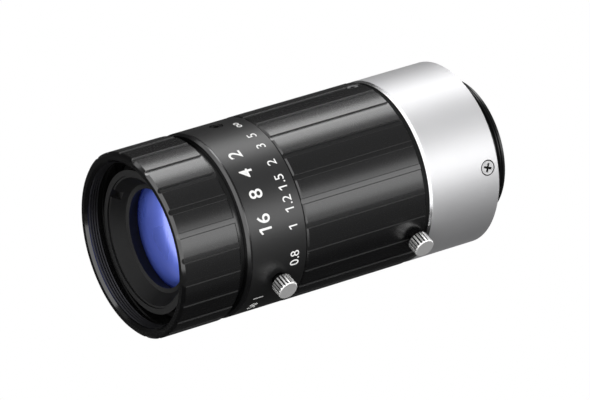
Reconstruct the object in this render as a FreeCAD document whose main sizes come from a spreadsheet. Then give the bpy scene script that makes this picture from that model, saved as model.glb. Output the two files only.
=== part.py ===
import FreeCAD, Part
import math
import os
import Sketcher

# Fixed focal length machine vision lens with a 1 inch, 32 turns per inch screw mount.
# Lengths are millimetres and angles are degrees.
# Every turned piece is drawn in the half plane of radius (X) and station (Y), the distance
# behind the front face, and then moved so that the flange of the screw mount lies at the
# origin. The optical axis is Y, the lens looks towards -Y, and an angle is counted about
# +Y from the top, +Z, towards +X.

SIZES = (
    # Outside, from the front to the flange
    ("iris_ring_length", 11.95, "front grip ring, without its skirt"),
    ("neck_width", 1.5, "bare neck between the front grip ring and the lip"),
    ("lip_length", 0.75, "lip in front of the scale band"),
    ("band_wall_behind", 2.864, "front barrel behind the iris ring's skirt, up to the band's end"),
    ("focus_gap", 0.3, "gap between the scale band and the focus ring"),
    ("focus_ring_length", 25.2, "middle grip ring"),
    ("rear_gap", 0.9, "dark gap between the focus ring and the mount barrel"),
    ("mount_barrel_length", 15.0, "bright barrel up to the flange"),
    ("grip_rise", 0.05, "grip rings above the barrel"),
    ("flute_count", 24, "flutes round each grip ring"),
    ("flute_depth", 0.38, "depth of a flute"),
    ("flute_cutter_radius", 0.62, "radius of a flute's round bottom"),
    ("grip_chamfer", 0.3, "chamfer on the ends of the grip rings"),
    ("lip_chamfer_length", 0.45, "chamfer of the lip, along the axis"),
    ("lip_chamfer_rise", 0.4, "chamfer of the lip, in radius"),
    ("bevel_length", 0.5, "front bevel of the bright barrel, along the axis"),
    ("bevel_rise", 0.3, "front bevel of the bright barrel, in radius"),
    ("rear_chamfer", 0.25, "rear edge of the bright barrel"),
    # Clearances
    ("run_gap", 0.06, "radial gap of a running fit"),
    ("seat_gap", 0.03, "radial gap of a fixed seat"),
    ("end_play", 0.1, "axial play of a turning ring"),
    ("touch_gap", 0.05, "axial gap at a seat"),
    # Screw mount
    ("mount_thread_radius", 12.7, "1 inch thread, outside"),
    ("mount_wall", 1.4, "wall of the mount ring inside its thread"),
    ("mount_reach", 4.15, "thread end behind the flange"),
    ("mount_end_chamfer", 0.4, "chamfer on the thread end"),
    ("spigot_length", 5.25, "part of the mount ring inside the barrel"),
    ("flange_wall", 2.15, "wall of the bright barrel round the mount ring"),
    ("screw_back", 2.35, "barrel screws in front of the flange"),
    ("screw_turn", 75.8, "angle of the first barrel screw"),
    ("barrel_screw_count", 3, "screws that hold the mount ring"),
    ("screw_head_radius", 1.25, "flush screw head"),
    ("screw_head_gap", 0.2, "gap round the flush head"),
    ("screw_head_height", 0.75, "height of the flush head"),
    ("screw_sink", 0.05, "top of the flush head under the barrel's surface"),
    ("screw_shank_radius", 0.68, "barrel screw thread"),
    ("screw_reach", 2.85, "shank length under the head"),
    ("cross_length", 1.65, "cross recess, tip to tip"),
    ("cross_width", 0.4, "width of a cross recess arm"),
    ("cross_depth", 0.45, "depth of the cross recess"),
    ("cross_turn", -21.5, "turn of the cross recess"),
    # Fixed inner tubes
    ("barrel_wall", 1.45, "wall of the bright barrel round the guide barrel"),
    ("barrel_step", 1.7, "step between the barrel's two bores"),
    ("barrel_web", 1.65, "thickness of that step"),
    ("guide_flange_set_in", 0.85, "guide barrel's flange inside the barrel's surface"),
    ("journal_wall", 2.19, "wall of the focus ring round its journal"),
    ("journal_length", 7.6, "journal on which the focus ring turns"),
    ("guide_wall", 1.15, "wall of the guide tube"),
    ("guide_lead", 2.5, "guide tube in front of its key slots"),
    ("retainer_height", 1.3, "thickness of the two retainer rings"),
    ("retainer_overlap", 0.5, "retainer rings over the rings that they hold"),
    ("retainer_notch_depth", 0.6, "spanner notches of the retainer rings"),
    # Sliding tube and front barrel
    ("focus_wall", 1.49, "wall of the focus ring round the sliding tube"),
    ("slide_wall", 1.59, "wall of the sliding tube"),
    ("slide_room", 1.3, "room behind the sliding tube"),
    ("web_thickness", 2.2, "wall of the front barrel that carries the rear cell"),
    ("band_wall", 0.6, "wall of the scale band"),
    ("hub_wall", 0.57, "wall of the front barrel under the scale band"),
    ("inner_tube_wall", 1.27, "wall of the tube on which the iris ring turns"),
    ("inner_tube_reach", 5.65, "that tube in front of the lip"),
    ("lock_hole_radius", 1.05, "tapped holes for lock and plug screws"),
    ("iris_lock_lead", 2.436, "lock screw of the iris in front of the skirt's end"),
    ("focus_lock_back", 2.0, "holes in front of the focus ring's rear end"),
    ("lock_count", 3, "tapped holes in each ring"),
    ("lock_turn", -12.0, "angle of the first tapped hole"),
    ("band_hole_margin", 0.2, "holes through the band wider than the tapped holes"),
    ("key_radius", 1.0, "guide keys"),
    ("key_back", 2.7, "guide keys in front of the sliding tube's rear end"),
    ("key_reach", 0.75, "keys inside the guide tube's outer face"),
    ("key_sink", 0.1, "keys under the sliding tube's outer face"),
    ("focus_travel", 3.3, "travel of the front group"),
    ("focus_turn", 100.0, "turn of the focus ring for that travel"),
    ("stop_pin_radius", 0.45, "focus stop pin"),
    ("stop_pin_offset", 0.85, "stop pin outside the journal"),
    ("stop_pin_reach", 0.85, "stop pin inside the focus ring's rear face"),
    ("stop_pin_room", 0.15, "stop groove deeper than the pin"),
    # Iris ring
    ("iris_grip_turn", 1.8, "angle of the first flute of the iris ring"),
    ("rim_chamfer", 0.5, "outer chamfer of the front rim"),
    ("rim_width", 0.85, "flat front rim"),
    ("mouth_bevel", 0.45, "bevel from the rim into the filter thread"),
    ("filter_thread_end", 2.55, "rear end of the filter thread"),
    ("filter_relief_depth", 0.35, "groove behind the filter thread, in radius"),
    ("filter_relief_end", 3.8, "rear end of that groove"),
    ("recess_depth", 0.15, "wall behind the groove outside the filter thread's crests"),
    ("skirt_gap", 0.1, "gap round the iris ring's skirt"),
    ("skirt_wall", 1.09, "wall of that skirt"),
    ("skirt_beyond_pin", 1.4, "skirt behind the drive pin"),
    ("iris_turn", 50.5, "turn of the iris ring from open to closed"),
    ("drive_pin_radius", 0.4, "iris drive pin"),
    ("drive_pin_sink", 0.05, "drive pin under the skirt's outer face"),
    ("drive_pin_bite", 0.95, "drive pin inside the iris room's wall"),
    # Front cell and its glass
    ("cell_wall", 1.1, "wall of the lens cell round the iris"),
    ("cell_reach", 10.8, "lens cell in front of the lip"),
    ("cell_mouth_wall", 1.0, "wall of the lens cell round the retaining ring"),
    ("cell_mouth_step", 1.4, "lens cell's mouth round the first element"),
    ("hood_set_back", 0.25, "retaining ring behind the cell's edge"),
    ("hood_rim", 0.4, "flat rim round the funnel"),
    ("hood_throat_depth", 1.95, "depth of the funnel"),
    ("hood_lip_depth", 0.4, "lip behind the funnel's narrow end"),
    ("hood_lip_width", 0.97, "lip, in radius"),
    ("hood_lip_overlap", 0.75, "lip over the visible glass"),
    ("hood_nose", 0.3, "nose that bears on the glass"),
    ("notch_width", 2.0, "spanner notches"),
    ("notch_depth", 1.3, "spanner notches of the front retaining ring"),
    ("hood_turn", 26.0, "turn of the front notches"),
    ("front_glass_depth", 4.85, "edge of the visible glass behind the cell's front"),
    ("front_glass_radius", 10.6, "edge of the first element"),
    ("front_glass_land", 0.85, "flat edge of the first element"),
    ("first_curve", 30.0, "front surface of the first element"),
    ("first_back_curve", 110.0, "rear surface of the first element"),
    ("first_edge", 3.8, "first element at its edge"),
    ("first_air", 0.8, "air behind the first element"),
    ("pair_step_height", 1.4, "front cemented pair inside the first element's edge"),
    ("front_pair_land", 0.45, "flat edge of the front pair"),
    ("second_curve", 18.0, "front surface of the front pair"),
    ("second_edge", 2.8, "second element at its edge"),
    ("front_cement_curve", 90.0, "cemented surface of the front pair"),
    ("third_thickness", 1.5, "third element at its centre"),
    ("third_curve", 13.0, "surface in front of the iris"),
    ("third_land", 2.4, "flat edge round that surface"),
    ("pair_step_back", 0.16, "step in the cell behind the front pair's rim"),
    ("shoulder_thickness", 0.6, "wall between the front pair and the iris"),
    ("shoulder_height", 1.5, "that wall over the front pair"),
    # Iris
    ("cam_thickness", 1.2, "cam ring"),
    ("cam_width", 3.7, "cam ring, in radius"),
    ("blade_count", 6, "iris blades"),
    ("blade_thickness", 0.1, "iris blade"),
    ("blade_gap", 0.06, "gap from one blade to the next"),
    ("blade_start_gap", 0.08, "gap between the cam ring and the first blade"),
    ("blade_clear", 0.3, "open blades outside the base plate's opening"),
    ("blade_set_in", 1.0, "outer edge of an open blade inside the pivots"),
    ("blade_span", 120.0, "angle that a blade covers"),
    ("blade_swing", 28.1, "turn of a blade from open to closed"),
    ("blade_pin_radius", 0.35, "pins of a blade"),
    ("blade_tab_radius", 0.8, "ends of a blade's tab"),
    ("blade_tab_gap", 0.2, "gap round the tabs"),
    ("blade_arm_inward", 0.4, "drive pin inwards of the pivot"),
    ("blade_arm_along", 2.2, "drive pin beside the pivot"),
    ("pin_bite", 0.7, "blade pins inside the plate and the cam ring"),
    ("drive_lead", 38.0, "iris drive pin behind a blade's pivot"),
    ("plate_width", 5.8, "base plate, in radius"),
    ("plate_thickness", 1.4, "base plate"),
    # Rear cell and its glass
    ("rear_cell_gap", 0.25, "gap round the rear cell"),
    ("rear_cell_shoulder", 0.7, "shoulder of the rear cell behind its thread"),
    ("rear_cell_set_back", 0.2, "rear cell behind the wall's front face"),
    ("rear_cell_margin", 1.15, "rear cell behind its retaining ring"),
    ("rear_lip_height", 1.4, "front lip of the rear cell over the rear pair"),
    ("rear_lip_thickness", 1.05, "front lip of the rear cell"),
    ("rear_pair_wall", 3.37, "wall of the rear cell round the rear pair"),
    ("fourth_land", 2.2, "flat edge round the surface behind the iris"),
    ("fourth_curve", 14.0, "surface behind the iris"),
    ("fourth_thickness", 1.5, "fourth element at its centre"),
    ("rear_cement_curve", 30.0, "cemented surface of the rear pair"),
    ("fifth_edge", 1.6, "fifth element at its edge"),
    ("fifth_curve", 18.0, "rear surface of the rear pair"),
    ("fifth_land", 0.8, "flat edge round that surface"),
    ("last_wall", 2.57, "wall of the rear cell round the sixth element"),
    ("last_land", 0.8, "flat edge of the sixth element"),
    ("last_air", 0.85, "air in front of the sixth element"),
    ("last_front_curve", 45.0, "front surface of the sixth element"),
    ("last_back_curve", 50.0, "rear surface of the sixth element"),
    ("last_edge", 2.55, "sixth element at its edge"),
    ("rear_ring_length", 2.6, "rear retaining ring"),
    # Lock and plug screws
    ("thumb_tip_gap", 0.1, "released tip above the ring under it"),
    ("thumb_stand_off", 0.9, "head above the barrel"),
    ("thumb_head_radius", 1.9, "thumbscrew head"),
    ("thumb_head_length", 2.55, "thumbscrew head"),
    ("thumb_chamfer", 0.2, "edges of the head and the tip"),
    ("knurl_count", 18, "flutes round a thumbscrew head"),
    ("knurl_radius", 0.2, "radius of those flutes"),
    ("knurl_depth", 0.16, "depth of those flutes"),
    ("plug_sink", 0.15, "plug screw under the surface"),
    ("socket_radius", 0.55, "hexagon socket, from its centre to a corner"),
    ("socket_depth", 0.6, "hexagon socket"),
)

FULL_TURN = 360
HALF_TURN = 180
QUARTER_TURN = 90
SIX_SIDES = 6
AXIS_Y = FreeCAD.Vector(0, 1, 0)
NORMAL = FreeCAD.Vector(0, 0, 1)
SIDES = {"front": -1, "behind": 1}
LEAST_CUT = 1e-6

doc = FreeCAD.newDocument("MachineVisionLens")
sheet = doc.addObject("Spreadsheet::Sheet", "Sizes")
pieces = []


class Size:
    """A number together with the formula that gives it from the sheet."""

    def __init__(self, number, formula):
        self.number = number
        self.formula = formula

    def join(self, sign, other, number):
        return Size(number, f"({self.formula} {sign} {size_of(other).formula})")

    def __add__(self, other):
        return self.join("+", other, self.number + size_of(other).number)

    def __sub__(self, other):
        return self.join("-", other, self.number - size_of(other).number)

    def __mul__(self, other):
        return self.join("*", other, self.number * size_of(other).number)

    def __truediv__(self, other):
        return self.join("/", other, self.number / size_of(other).number)

    def root(self):
        return Size(math.sqrt(self.number), f"sqrt({self.formula})")


def size_of(value):
    return value if isinstance(value, Size) else Size(value, repr(value))


class NamedSizes:
    """The driving sizes, each an attribute with the name of its cell."""


def fill_sheet():
    for row, (name, number, meaning) in enumerate(SIZES, start=1):
        sheet.set(f"A{row}", meaning)
        sheet.set(f"B{row}", str(number))
        sheet.setAlias(f"B{row}", name)
    doc.recompute()
    sizes = NamedSizes()
    for name, _number, _meaning in SIZES:
        setattr(sizes, name, Size(sheet.get(name), f"Sizes.{name}"))
    return sizes


def sag(curve, radius):
    """Depth of a spherical surface between its centre and a radius."""
    return curve - (curve * curve - radius * radius).root()


def arc_play(turn, radius_with_play, circle_radius):
    """Angle of an arc slot that lets a pin turn freely."""
    return turn + radius_with_play * FULL_TURN / (circle_radius * math.pi)


def place(piece, turn):
    """Put the flange at the origin and turn the piece about the optical axis."""
    base = size_of(0) - flange
    rotation = FreeCAD.Rotation(AXIS_Y, size_of(turn).number)
    piece.Placement = FreeCAD.Placement(FreeCAD.Vector(0, base.number, 0), rotation)
    piece.setExpression(".Placement.Base.y", base.formula)


def place_radial(piece, station, turn):
    """Point the piece's own axis outwards, across the optical axis, at an angle."""
    upright = FreeCAD.Rotation(FreeCAD.Vector(1, 0, 0), QUARTER_TURN)
    swung = FreeCAD.Rotation(AXIS_Y, size_of(turn).number)
    base = station - flange
    position = FreeCAD.Vector(0, base.number, 0)
    piece.Placement = FreeCAD.Placement(position, swung.multiply(upright))
    piece.setExpression(".Placement.Base.y", base.formula)


def new_body(label):
    body = doc.addObject("PartDesign::Body", label)
    body.Label = label
    pieces.append(body)
    return body


def origin_part(body, role):
    """An origin plane or axis of a body."""
    return next(item for item in body.Origin.OriginFeatures if item.Role == role)


def new_sketch(body, name, role="XY_Plane", lift=None, turn=None):
    """A sketch on an origin plane, lifted off it or turned about its upright axis."""
    sketch = body.newObject("Sketcher::SketchObject", name)
    sketch.AttachmentSupport = [(origin_part(body, role), "")]
    sketch.MapMode = "FlatFace"
    if turn is not None:
        sketch.AttachmentOffset = FreeCAD.Placement(
            FreeCAD.Vector(), FreeCAD.Rotation(AXIS_Y, size_of(turn).number))
    if lift is not None:
        sketch.AttachmentOffset = FreeCAD.Placement(
            FreeCAD.Vector(0, 0, lift.number), FreeCAD.Rotation())
        sketch.setExpression(".AttachmentOffset.Base.z", lift.formula)
    return sketch


def across_sketch(body, name, station, turn=0):
    """A sketch across the piece's axis at a station, turned about that axis."""
    sketch = body.newObject("Sketcher::SketchObject", name)
    sketch.AttachmentSupport = [(origin_part(body, "XZ_Plane"), "")]
    sketch.MapMode = "FlatFace"
    lift = size_of(0) - station
    swung = FreeCAD.Rotation(NORMAL, -size_of(turn).number)
    sketch.AttachmentOffset = FreeCAD.Placement(FreeCAD.Vector(0, 0, lift.number), swung)
    sketch.setExpression(".AttachmentOffset.Base.z", lift.formula)
    return sketch


def tie(sketch, kind, places, size):
    """Add a sized constraint and bind it to the sheet."""
    index = sketch.addConstraint(Sketcher.Constraint(kind, *places, size.number))
    sketch.setExpression(f"Constraints[{index}]", size.formula)


def pin_point(sketch, edge, end, across, along):
    """Hold one end, or the centre, of an edge at its two coordinates.

    A sketch numbers its level axis -1 and its upright axis -2; the origin is point 1 of the
    level axis.
    """
    if across.number == 0:
        sketch.addConstraint(Sketcher.Constraint("PointOnObject", edge, end, -2))
    else:
        tie(sketch, "DistanceX", (-1, 1, edge, end), across)
    if along.number == 0:
        sketch.addConstraint(Sketcher.Constraint("PointOnObject", edge, end, -1))
    else:
        tie(sketch, "DistanceY", (-1, 1, edge, end), along)


def lens_arc(start, end, curve, side):
    """The arc between two points of a surface whose centre is on the optical axis."""
    inner, outer = (start, end) if start.x < end.x else (end, start)
    centre_y = outer.y + SIDES[side] * math.sqrt(curve.number ** 2 - outer.x ** 2)
    circle = Part.Circle(FreeCAD.Vector(0, centre_y, 0), NORMAL, curve.number)
    first = math.atan2(inner.y - centre_y, inner.x)
    last = math.atan2(outer.y - centre_y, outer.x)
    return Part.ArcOfCircle(circle, min(first, last), max(first, last))


def outline(sketch, corners, curves=None):
    """Draw a closed outline through corners, each a pair (across, along).

    curves maps a corner to the curvature radius of the glass surface that leaves it and to
    the side of its centre, "front" or "behind". The other edges are straight.
    """
    curves = curves or {}
    corners = [(size_of(across), size_of(along)) for across, along in corners]
    points = [FreeCAD.Vector(across.number, along.number, 0) for across, along in corners]
    first_end, last_end = [], []
    for index, start in enumerate(points):
        end = points[(index + 1) % len(points)]
        anticlockwise = True
        if index in curves:
            curve, side = curves[index]
            sketch.addGeometry(lens_arc(start, end, curve, side), False)
            anticlockwise = (end.x > start.x) == (side == "behind")
        else:
            sketch.addGeometry(Part.LineSegment(start, end), False)
        first_end.append(1 if anticlockwise else 2)
        last_end.append(2 if anticlockwise else 1)
    for index, (across, along) in enumerate(corners):
        following = (index + 1) % len(corners)
        sketch.addConstraint(Sketcher.Constraint(
            "Coincident", index, last_end[index], following, first_end[following]))
        pin_point(sketch, index, first_end[index], across, along)
    for index, (curve, _side) in curves.items():
        tie(sketch, "Radius", (index,), curve)


def circle_at(sketch, across, along, radius):
    across, along = size_of(across), size_of(along)
    centre = FreeCAD.Vector(across.number, along.number, 0)
    edge = sketch.addGeometry(Part.Circle(centre, NORMAL, radius.number), False)
    pin_point(sketch, edge, 3, across, along)
    tie(sketch, "Radius", (edge,), radius)


def revolve(body, sketch, name, angle=None):
    feature = body.newObject("PartDesign::Revolution", name)
    feature.Profile = (sketch, [""])
    feature.ReferenceAxis = (origin_part(body, "Y_Axis"), [""])
    feature.Angle = FULL_TURN
    if angle is not None:
        feature.Angle = angle.number
        feature.setExpression("Angle", angle.formula)
    sketch.Visibility = False
    return feature


def turned(label, corners, curves=None):
    """A piece of revolution about its own axis."""
    body = new_body(label)
    sketch = new_sketch(body, label + "_outline")
    outline(sketch, corners, curves)
    revolve(body, sketch, label + "_turned")
    return body


def pad(body, sketch, name, length, to_front):
    """Raise a sketch across the axis, towards the front or the rear."""
    feature = body.newObject("PartDesign::Pad", name)
    feature.Profile = (sketch, [""])
    feature.Length = length.number
    feature.setExpression("Length", length.formula)
    feature.Reversed = not to_front
    sketch.Visibility = False
    return feature


def pocket(body, sketch, name, depth=None, both_ways=False, reverse=False):
    """Cut a sketch to a depth, or right through, and make sure that it cuts."""
    feature = body.newObject("PartDesign::Pocket", name)
    feature.Profile = (sketch, [""])
    if depth is None:
        feature.Type = "ThroughAll"
    else:
        feature.Type = "Length"
        feature.Length = depth.number
        feature.setExpression("Length", depth.formula)
    feature.SideType = "Symmetric" if both_ways else "One side"
    feature.Reversed = reverse
    sketch.Visibility = False
    require_cut(feature)
    return feature


def require_cut(feature):
    doc.recompute()
    before = feature.BaseFeature.Shape.Volume
    if before - feature.Shape.Volume < LEAST_CUT:
        raise RuntimeError(f"{feature.Name} cuts nothing")


def arc_groove(body, name, corners, angle):
    """An arc-shaped slot, centred a quarter turn from the top of the piece."""
    sketch = new_sketch(body, name + "_section")
    outline(sketch, corners)
    feature = body.newObject("PartDesign::Groove", name)
    feature.Profile = (sketch, [""])
    feature.ReferenceAxis = (origin_part(body, "Y_Axis"), [""])
    feature.Midplane = True
    feature.Angle = angle.number
    feature.setExpression("Angle", angle.formula)
    sketch.Visibility = False
    require_cut(feature)


def repeat_round(body, feature, count):
    """Repeat a cut evenly round the piece's own axis."""
    pattern = body.newObject("PartDesign::PolarPattern", feature.Name + "_round")
    pattern.Originals = [feature]
    pattern.Axis = (origin_part(body, "Y_Axis"), [""])
    pattern.Angle = FULL_TURN
    pattern.Occurrences = int(count.number)
    pattern.setExpression("Occurrences", count.formula)
    body.Tip = pattern


def radial_holes(body, name, station, radius, count, lift=None):
    """Round holes through one wall, the first at the top of the piece."""
    sketch = new_sketch(body, name + "_circle", lift=lift)
    circle_at(sketch, 0, station, radius)
    repeat_round(body, pocket(body, sketch, name, reverse=True), count)


def opposite_holes(body, name, station, radius):
    """One round hole right through, at the top and at the bottom of the piece."""
    sketch = new_sketch(body, name + "_circle")
    circle_at(sketch, 0, station, radius)
    pocket(body, sketch, name, both_ways=True)


def spanner_notches(body, name, face, depth, reach, width, to_front=True):
    """Two notches across the end face of a ring, left and right of its axis."""
    sketch = new_sketch(body, name + "_outline")
    mouth = face - depth if to_front else face + depth
    floor = face + depth if to_front else face - depth
    outline(sketch, [(reach * -1, mouth), (reach, mouth), (reach, floor), (reach * -1, floor)])
    pocket(body, sketch, name, width, both_ways=True)


def round_flutes(body, name, radius, depth, cutter, count):
    """Shallow flutes with a round bottom that run out through both ends."""
    sketch = across_sketch(body, name + "_circle", size_of(0))
    circle_at(sketch, 0, radius - depth + cutter, cutter)
    repeat_round(body, pocket(body, sketch, name, both_ways=True), count)


def axial_circle(body, name, station, centre_radius, radius, turn=0):
    """A circle across the axis, at a radius and an angle from the top of the piece."""
    sketch = across_sketch(body, name + "_circle", station, turn)
    circle_at(sketch, 0, centre_radius, radius)
    return sketch


dim = fill_sheet()

# Radii of the front group, from the first element outwards
front_glass_bore = dim.front_glass_radius + dim.seat_gap
front_clear_radius = dim.front_glass_radius - dim.front_glass_land
cell_mouth_radius = dim.front_glass_radius + dim.cell_mouth_step
cell_radius = cell_mouth_radius + dim.cell_mouth_wall
cell_bore = cell_radius + dim.seat_gap
inner_tube_radius = cell_bore + dim.inner_tube_wall
iris_bore = inner_tube_radius + dim.run_gap
skirt_radius = iris_bore + dim.skirt_wall
hub_bore = skirt_radius + dim.skirt_gap
hub_radius = hub_bore + dim.hub_wall
barrel_radius = hub_radius + dim.seat_gap + dim.band_wall
grip_radius = barrel_radius + dim.grip_rise
rim_radius = grip_radius - dim.rim_chamfer - dim.rim_width
filter_thread_radius = rim_radius - dim.mouth_bevel
filter_relief_radius = filter_thread_radius + dim.filter_relief_depth
recess_radius = filter_thread_radius + dim.recess_depth

# Radii of the focus drive and the mount, from the outside inwards
focus_bore = grip_radius - dim.focus_wall
helicoid_radius = focus_bore - dim.run_gap
slide_bore = helicoid_radius - dim.slide_wall
guide_tube_radius = slide_bore - dim.run_gap
guide_tube_bore = guide_tube_radius - dim.guide_wall
focus_journal_bore = grip_radius - dim.journal_wall
journal_radius = focus_journal_bore - dim.run_gap
stop_circle_radius = journal_radius + dim.stop_pin_offset
guide_flange_radius = barrel_radius - dim.guide_flange_set_in
barrel_bore_radius = barrel_radius - dim.barrel_wall
barrel_web_radius = barrel_bore_radius - dim.barrel_step
spigot_bore = barrel_radius - dim.flange_wall
spigot_radius = spigot_bore - dim.seat_gap
mount_bore_radius = dim.mount_thread_radius - dim.mount_wall
plug_radius = dim.lock_hole_radius - dim.seat_gap
thumb_shank_radius = dim.lock_hole_radius - dim.touch_gap

# Radii of the glass and the iris
hood_mouth_radius = cell_mouth_radius - dim.hood_rim
hood_lip_radius = front_clear_radius - dim.hood_lip_overlap
hood_throat_radius = hood_lip_radius + dim.hood_lip_width
front_pair_radius = dim.front_glass_radius - dim.pair_step_height
front_pair_bore = front_pair_radius + dim.seat_gap
front_pair_clear = front_pair_radius - dim.front_pair_land
third_clear_radius = front_pair_radius - dim.third_land
shoulder_radius = front_pair_radius - dim.shoulder_height
iris_room_radius = cell_radius - dim.cell_wall
cam_inner_radius = iris_room_radius - dim.cam_width
plate_aperture_radius = iris_room_radius - dim.plate_width
blade_pivot_radius = iris_room_radius - dim.blade_tab_radius - dim.blade_tab_gap
blade_inner_radius = plate_aperture_radius + dim.blade_clear
blade_outer_radius = blade_pivot_radius - dim.blade_set_in
drive_pin_inner = iris_room_radius - dim.drive_pin_bite
rear_cell_radius = guide_tube_bore - dim.rear_cell_gap
web_bore_radius = rear_cell_radius - dim.rear_cell_shoulder
rear_pair_bore = rear_cell_radius - dim.rear_pair_wall
rear_pair_radius = rear_pair_bore - dim.seat_gap
rear_lip_radius = rear_pair_radius - dim.rear_lip_height
fourth_clear_radius = rear_pair_radius - dim.fourth_land
fifth_clear_radius = rear_pair_radius - dim.fifth_land
last_bore = rear_cell_radius - dim.last_wall
last_radius = last_bore - dim.seat_gap
last_clear_radius = last_radius - dim.last_land

# Stations of the front ring and the lip
lip_front = dim.iris_ring_length + dim.neck_width
band_front = lip_front + dim.lip_length

# Stations of the front cell and the iris
inner_tube_front = lip_front - dim.inner_tube_reach
cell_front = lip_front - dim.cell_reach
hood_front = cell_front + dim.hood_set_back
hood_throat = hood_front + dim.hood_throat_depth
hood_lip = hood_throat + dim.hood_lip_depth
front_glass_rim = cell_front + dim.front_glass_depth
cell_seat = front_glass_rim - dim.hood_nose
first_vertex = front_glass_rim - sag(dim.first_curve, front_clear_radius)
first_back_rim = front_glass_rim + dim.first_edge
first_back = first_back_rim - sag(dim.first_back_curve, front_clear_radius)
second_vertex = first_back + dim.first_air
second_rim = second_vertex + sag(dim.second_curve, front_pair_clear)
front_cement_rim = second_rim + dim.second_edge
front_cement = front_cement_rim - sag(dim.front_cement_curve, front_pair_radius)
third_back = front_cement + dim.third_thickness
third_rim = third_back + sag(dim.third_curve, third_clear_radius)
pair_step = second_rim + dim.pair_step_back
pair_seat = third_rim + dim.touch_gap
iris_room_front = pair_seat + dim.shoulder_thickness
cam_front = iris_room_front + dim.end_play
cam_rear = cam_front + dim.cam_thickness
drive_station = cam_front + dim.cam_thickness / 2
skirt_end = drive_station + dim.skirt_beyond_pin
pocket_rear = skirt_end + dim.end_play
first_blade = cam_rear + dim.blade_start_gap
blade_pitch = dim.blade_thickness + dim.blade_gap
plate_front = first_blade + blade_pitch * dim.blade_count + dim.blade_start_gap
web_front = plate_front + dim.plate_thickness + dim.touch_gap
web_rear = web_front + dim.web_thickness

# Stations of the outside, from the iris to the flange
iris_lock_station = skirt_end - dim.iris_lock_lead
band_rear = pocket_rear + dim.band_wall_behind
focus_front = band_rear + dim.focus_gap
focus_rear = focus_front + dim.focus_ring_length
focus_lock_station = focus_rear - dim.focus_lock_back
barrel_front = focus_rear + dim.rear_gap
flange = barrel_front + dim.mount_barrel_length
spigot_front = flange - dim.spigot_length
barrel_step_front = spigot_front - dim.touch_gap - dim.barrel_web
screw_station = flange - dim.screw_back

# Stations of the focus drive
guide_face = focus_rear + dim.end_play
journal_front = guide_face - dim.journal_length
focus_retainer_front = journal_front - dim.retainer_height
helicoid_rear = focus_retainer_front - dim.slide_room
key_station = helicoid_rear - dim.key_back
key_slot_front = key_station - dim.focus_travel - dim.key_radius - dim.end_play
key_slot_rear = key_station + dim.key_radius + dim.end_play
guide_front = key_slot_front - dim.guide_lead

# Stations of the rear cell
rear_cell_front = web_front + dim.rear_cell_set_back
rear_lip_rear = rear_cell_front + dim.rear_lip_thickness
fourth_rim = rear_lip_rear + dim.touch_gap
fourth_vertex = fourth_rim + sag(dim.fourth_curve, fourth_clear_radius)
rear_cement = fourth_vertex + dim.fourth_thickness
rear_cement_rim = rear_cement + sag(dim.rear_cement_curve, rear_pair_radius)
fifth_rim = rear_cement_rim + dim.fifth_edge
fifth_back = fifth_rim + sag(dim.fifth_curve, fifth_clear_radius)
rear_step = fifth_rim + dim.touch_gap
last_vertex = fifth_back + dim.last_air
last_rim = last_vertex + sag(dim.last_front_curve, last_clear_radius)
last_back_rim = last_rim + dim.last_edge
last_back = last_back_rim + sag(dim.last_back_curve, last_clear_radius)
rear_ring_front = last_back_rim + dim.touch_gap
rear_ring_rear = rear_ring_front + dim.rear_ring_length
rear_cell_rear = rear_ring_rear + dim.rear_cell_margin

# Angles about the axis
drive_turn = dim.lock_turn + QUARTER_TURN - dim.iris_turn / 2
stop_turn = dim.lock_turn + QUARTER_TURN + dim.focus_turn / 2
blade_turn = drive_turn + dim.drive_lead
screw_step = size_of(FULL_TURN) / dim.barrel_screw_count
lock_step = size_of(FULL_TURN) / dim.lock_count
blade_step = size_of(FULL_TURN) / dim.blade_count


def make_mount_barrel():
    body = turned("mount_barrel", [
        (barrel_bore_radius, barrel_front),
        (barrel_radius - dim.bevel_rise, barrel_front),
        (barrel_radius, barrel_front + dim.bevel_length),
        (barrel_radius, flange - dim.rear_chamfer),
        (barrel_radius - dim.rear_chamfer, flange),
        (spigot_bore, flange),
        (spigot_bore, spigot_front - dim.touch_gap),
        (barrel_web_radius, spigot_front - dim.touch_gap),
        (barrel_web_radius, barrel_step_front),
        (barrel_bore_radius, barrel_step_front)])
    radial_holes(body, "screw_clearance", screw_station,
                 dim.screw_shank_radius + dim.end_play, dim.barrel_screw_count)
    head_floor = barrel_radius - dim.screw_sink - dim.screw_head_height
    radial_holes(body, "head_counterbore", screw_station,
                 dim.screw_head_radius + dim.screw_head_gap, dim.barrel_screw_count,
                 lift=head_floor - dim.touch_gap)
    place(body, dim.screw_turn)


def make_mount_ring():
    thread_end = flange + dim.mount_reach
    body = turned("c_mount_ring", [
        (mount_bore_radius, spigot_front),
        (spigot_radius, spigot_front),
        (spigot_radius, flange),
        (dim.mount_thread_radius, flange),
        (dim.mount_thread_radius, thread_end - dim.mount_end_chamfer),
        (dim.mount_thread_radius - dim.mount_end_chamfer, thread_end),
        (mount_bore_radius, thread_end)])
    radial_holes(body, "screw_thread", screw_station,
                 dim.screw_shank_radius + dim.seat_gap, dim.barrel_screw_count)
    place(body, dim.screw_turn)


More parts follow.
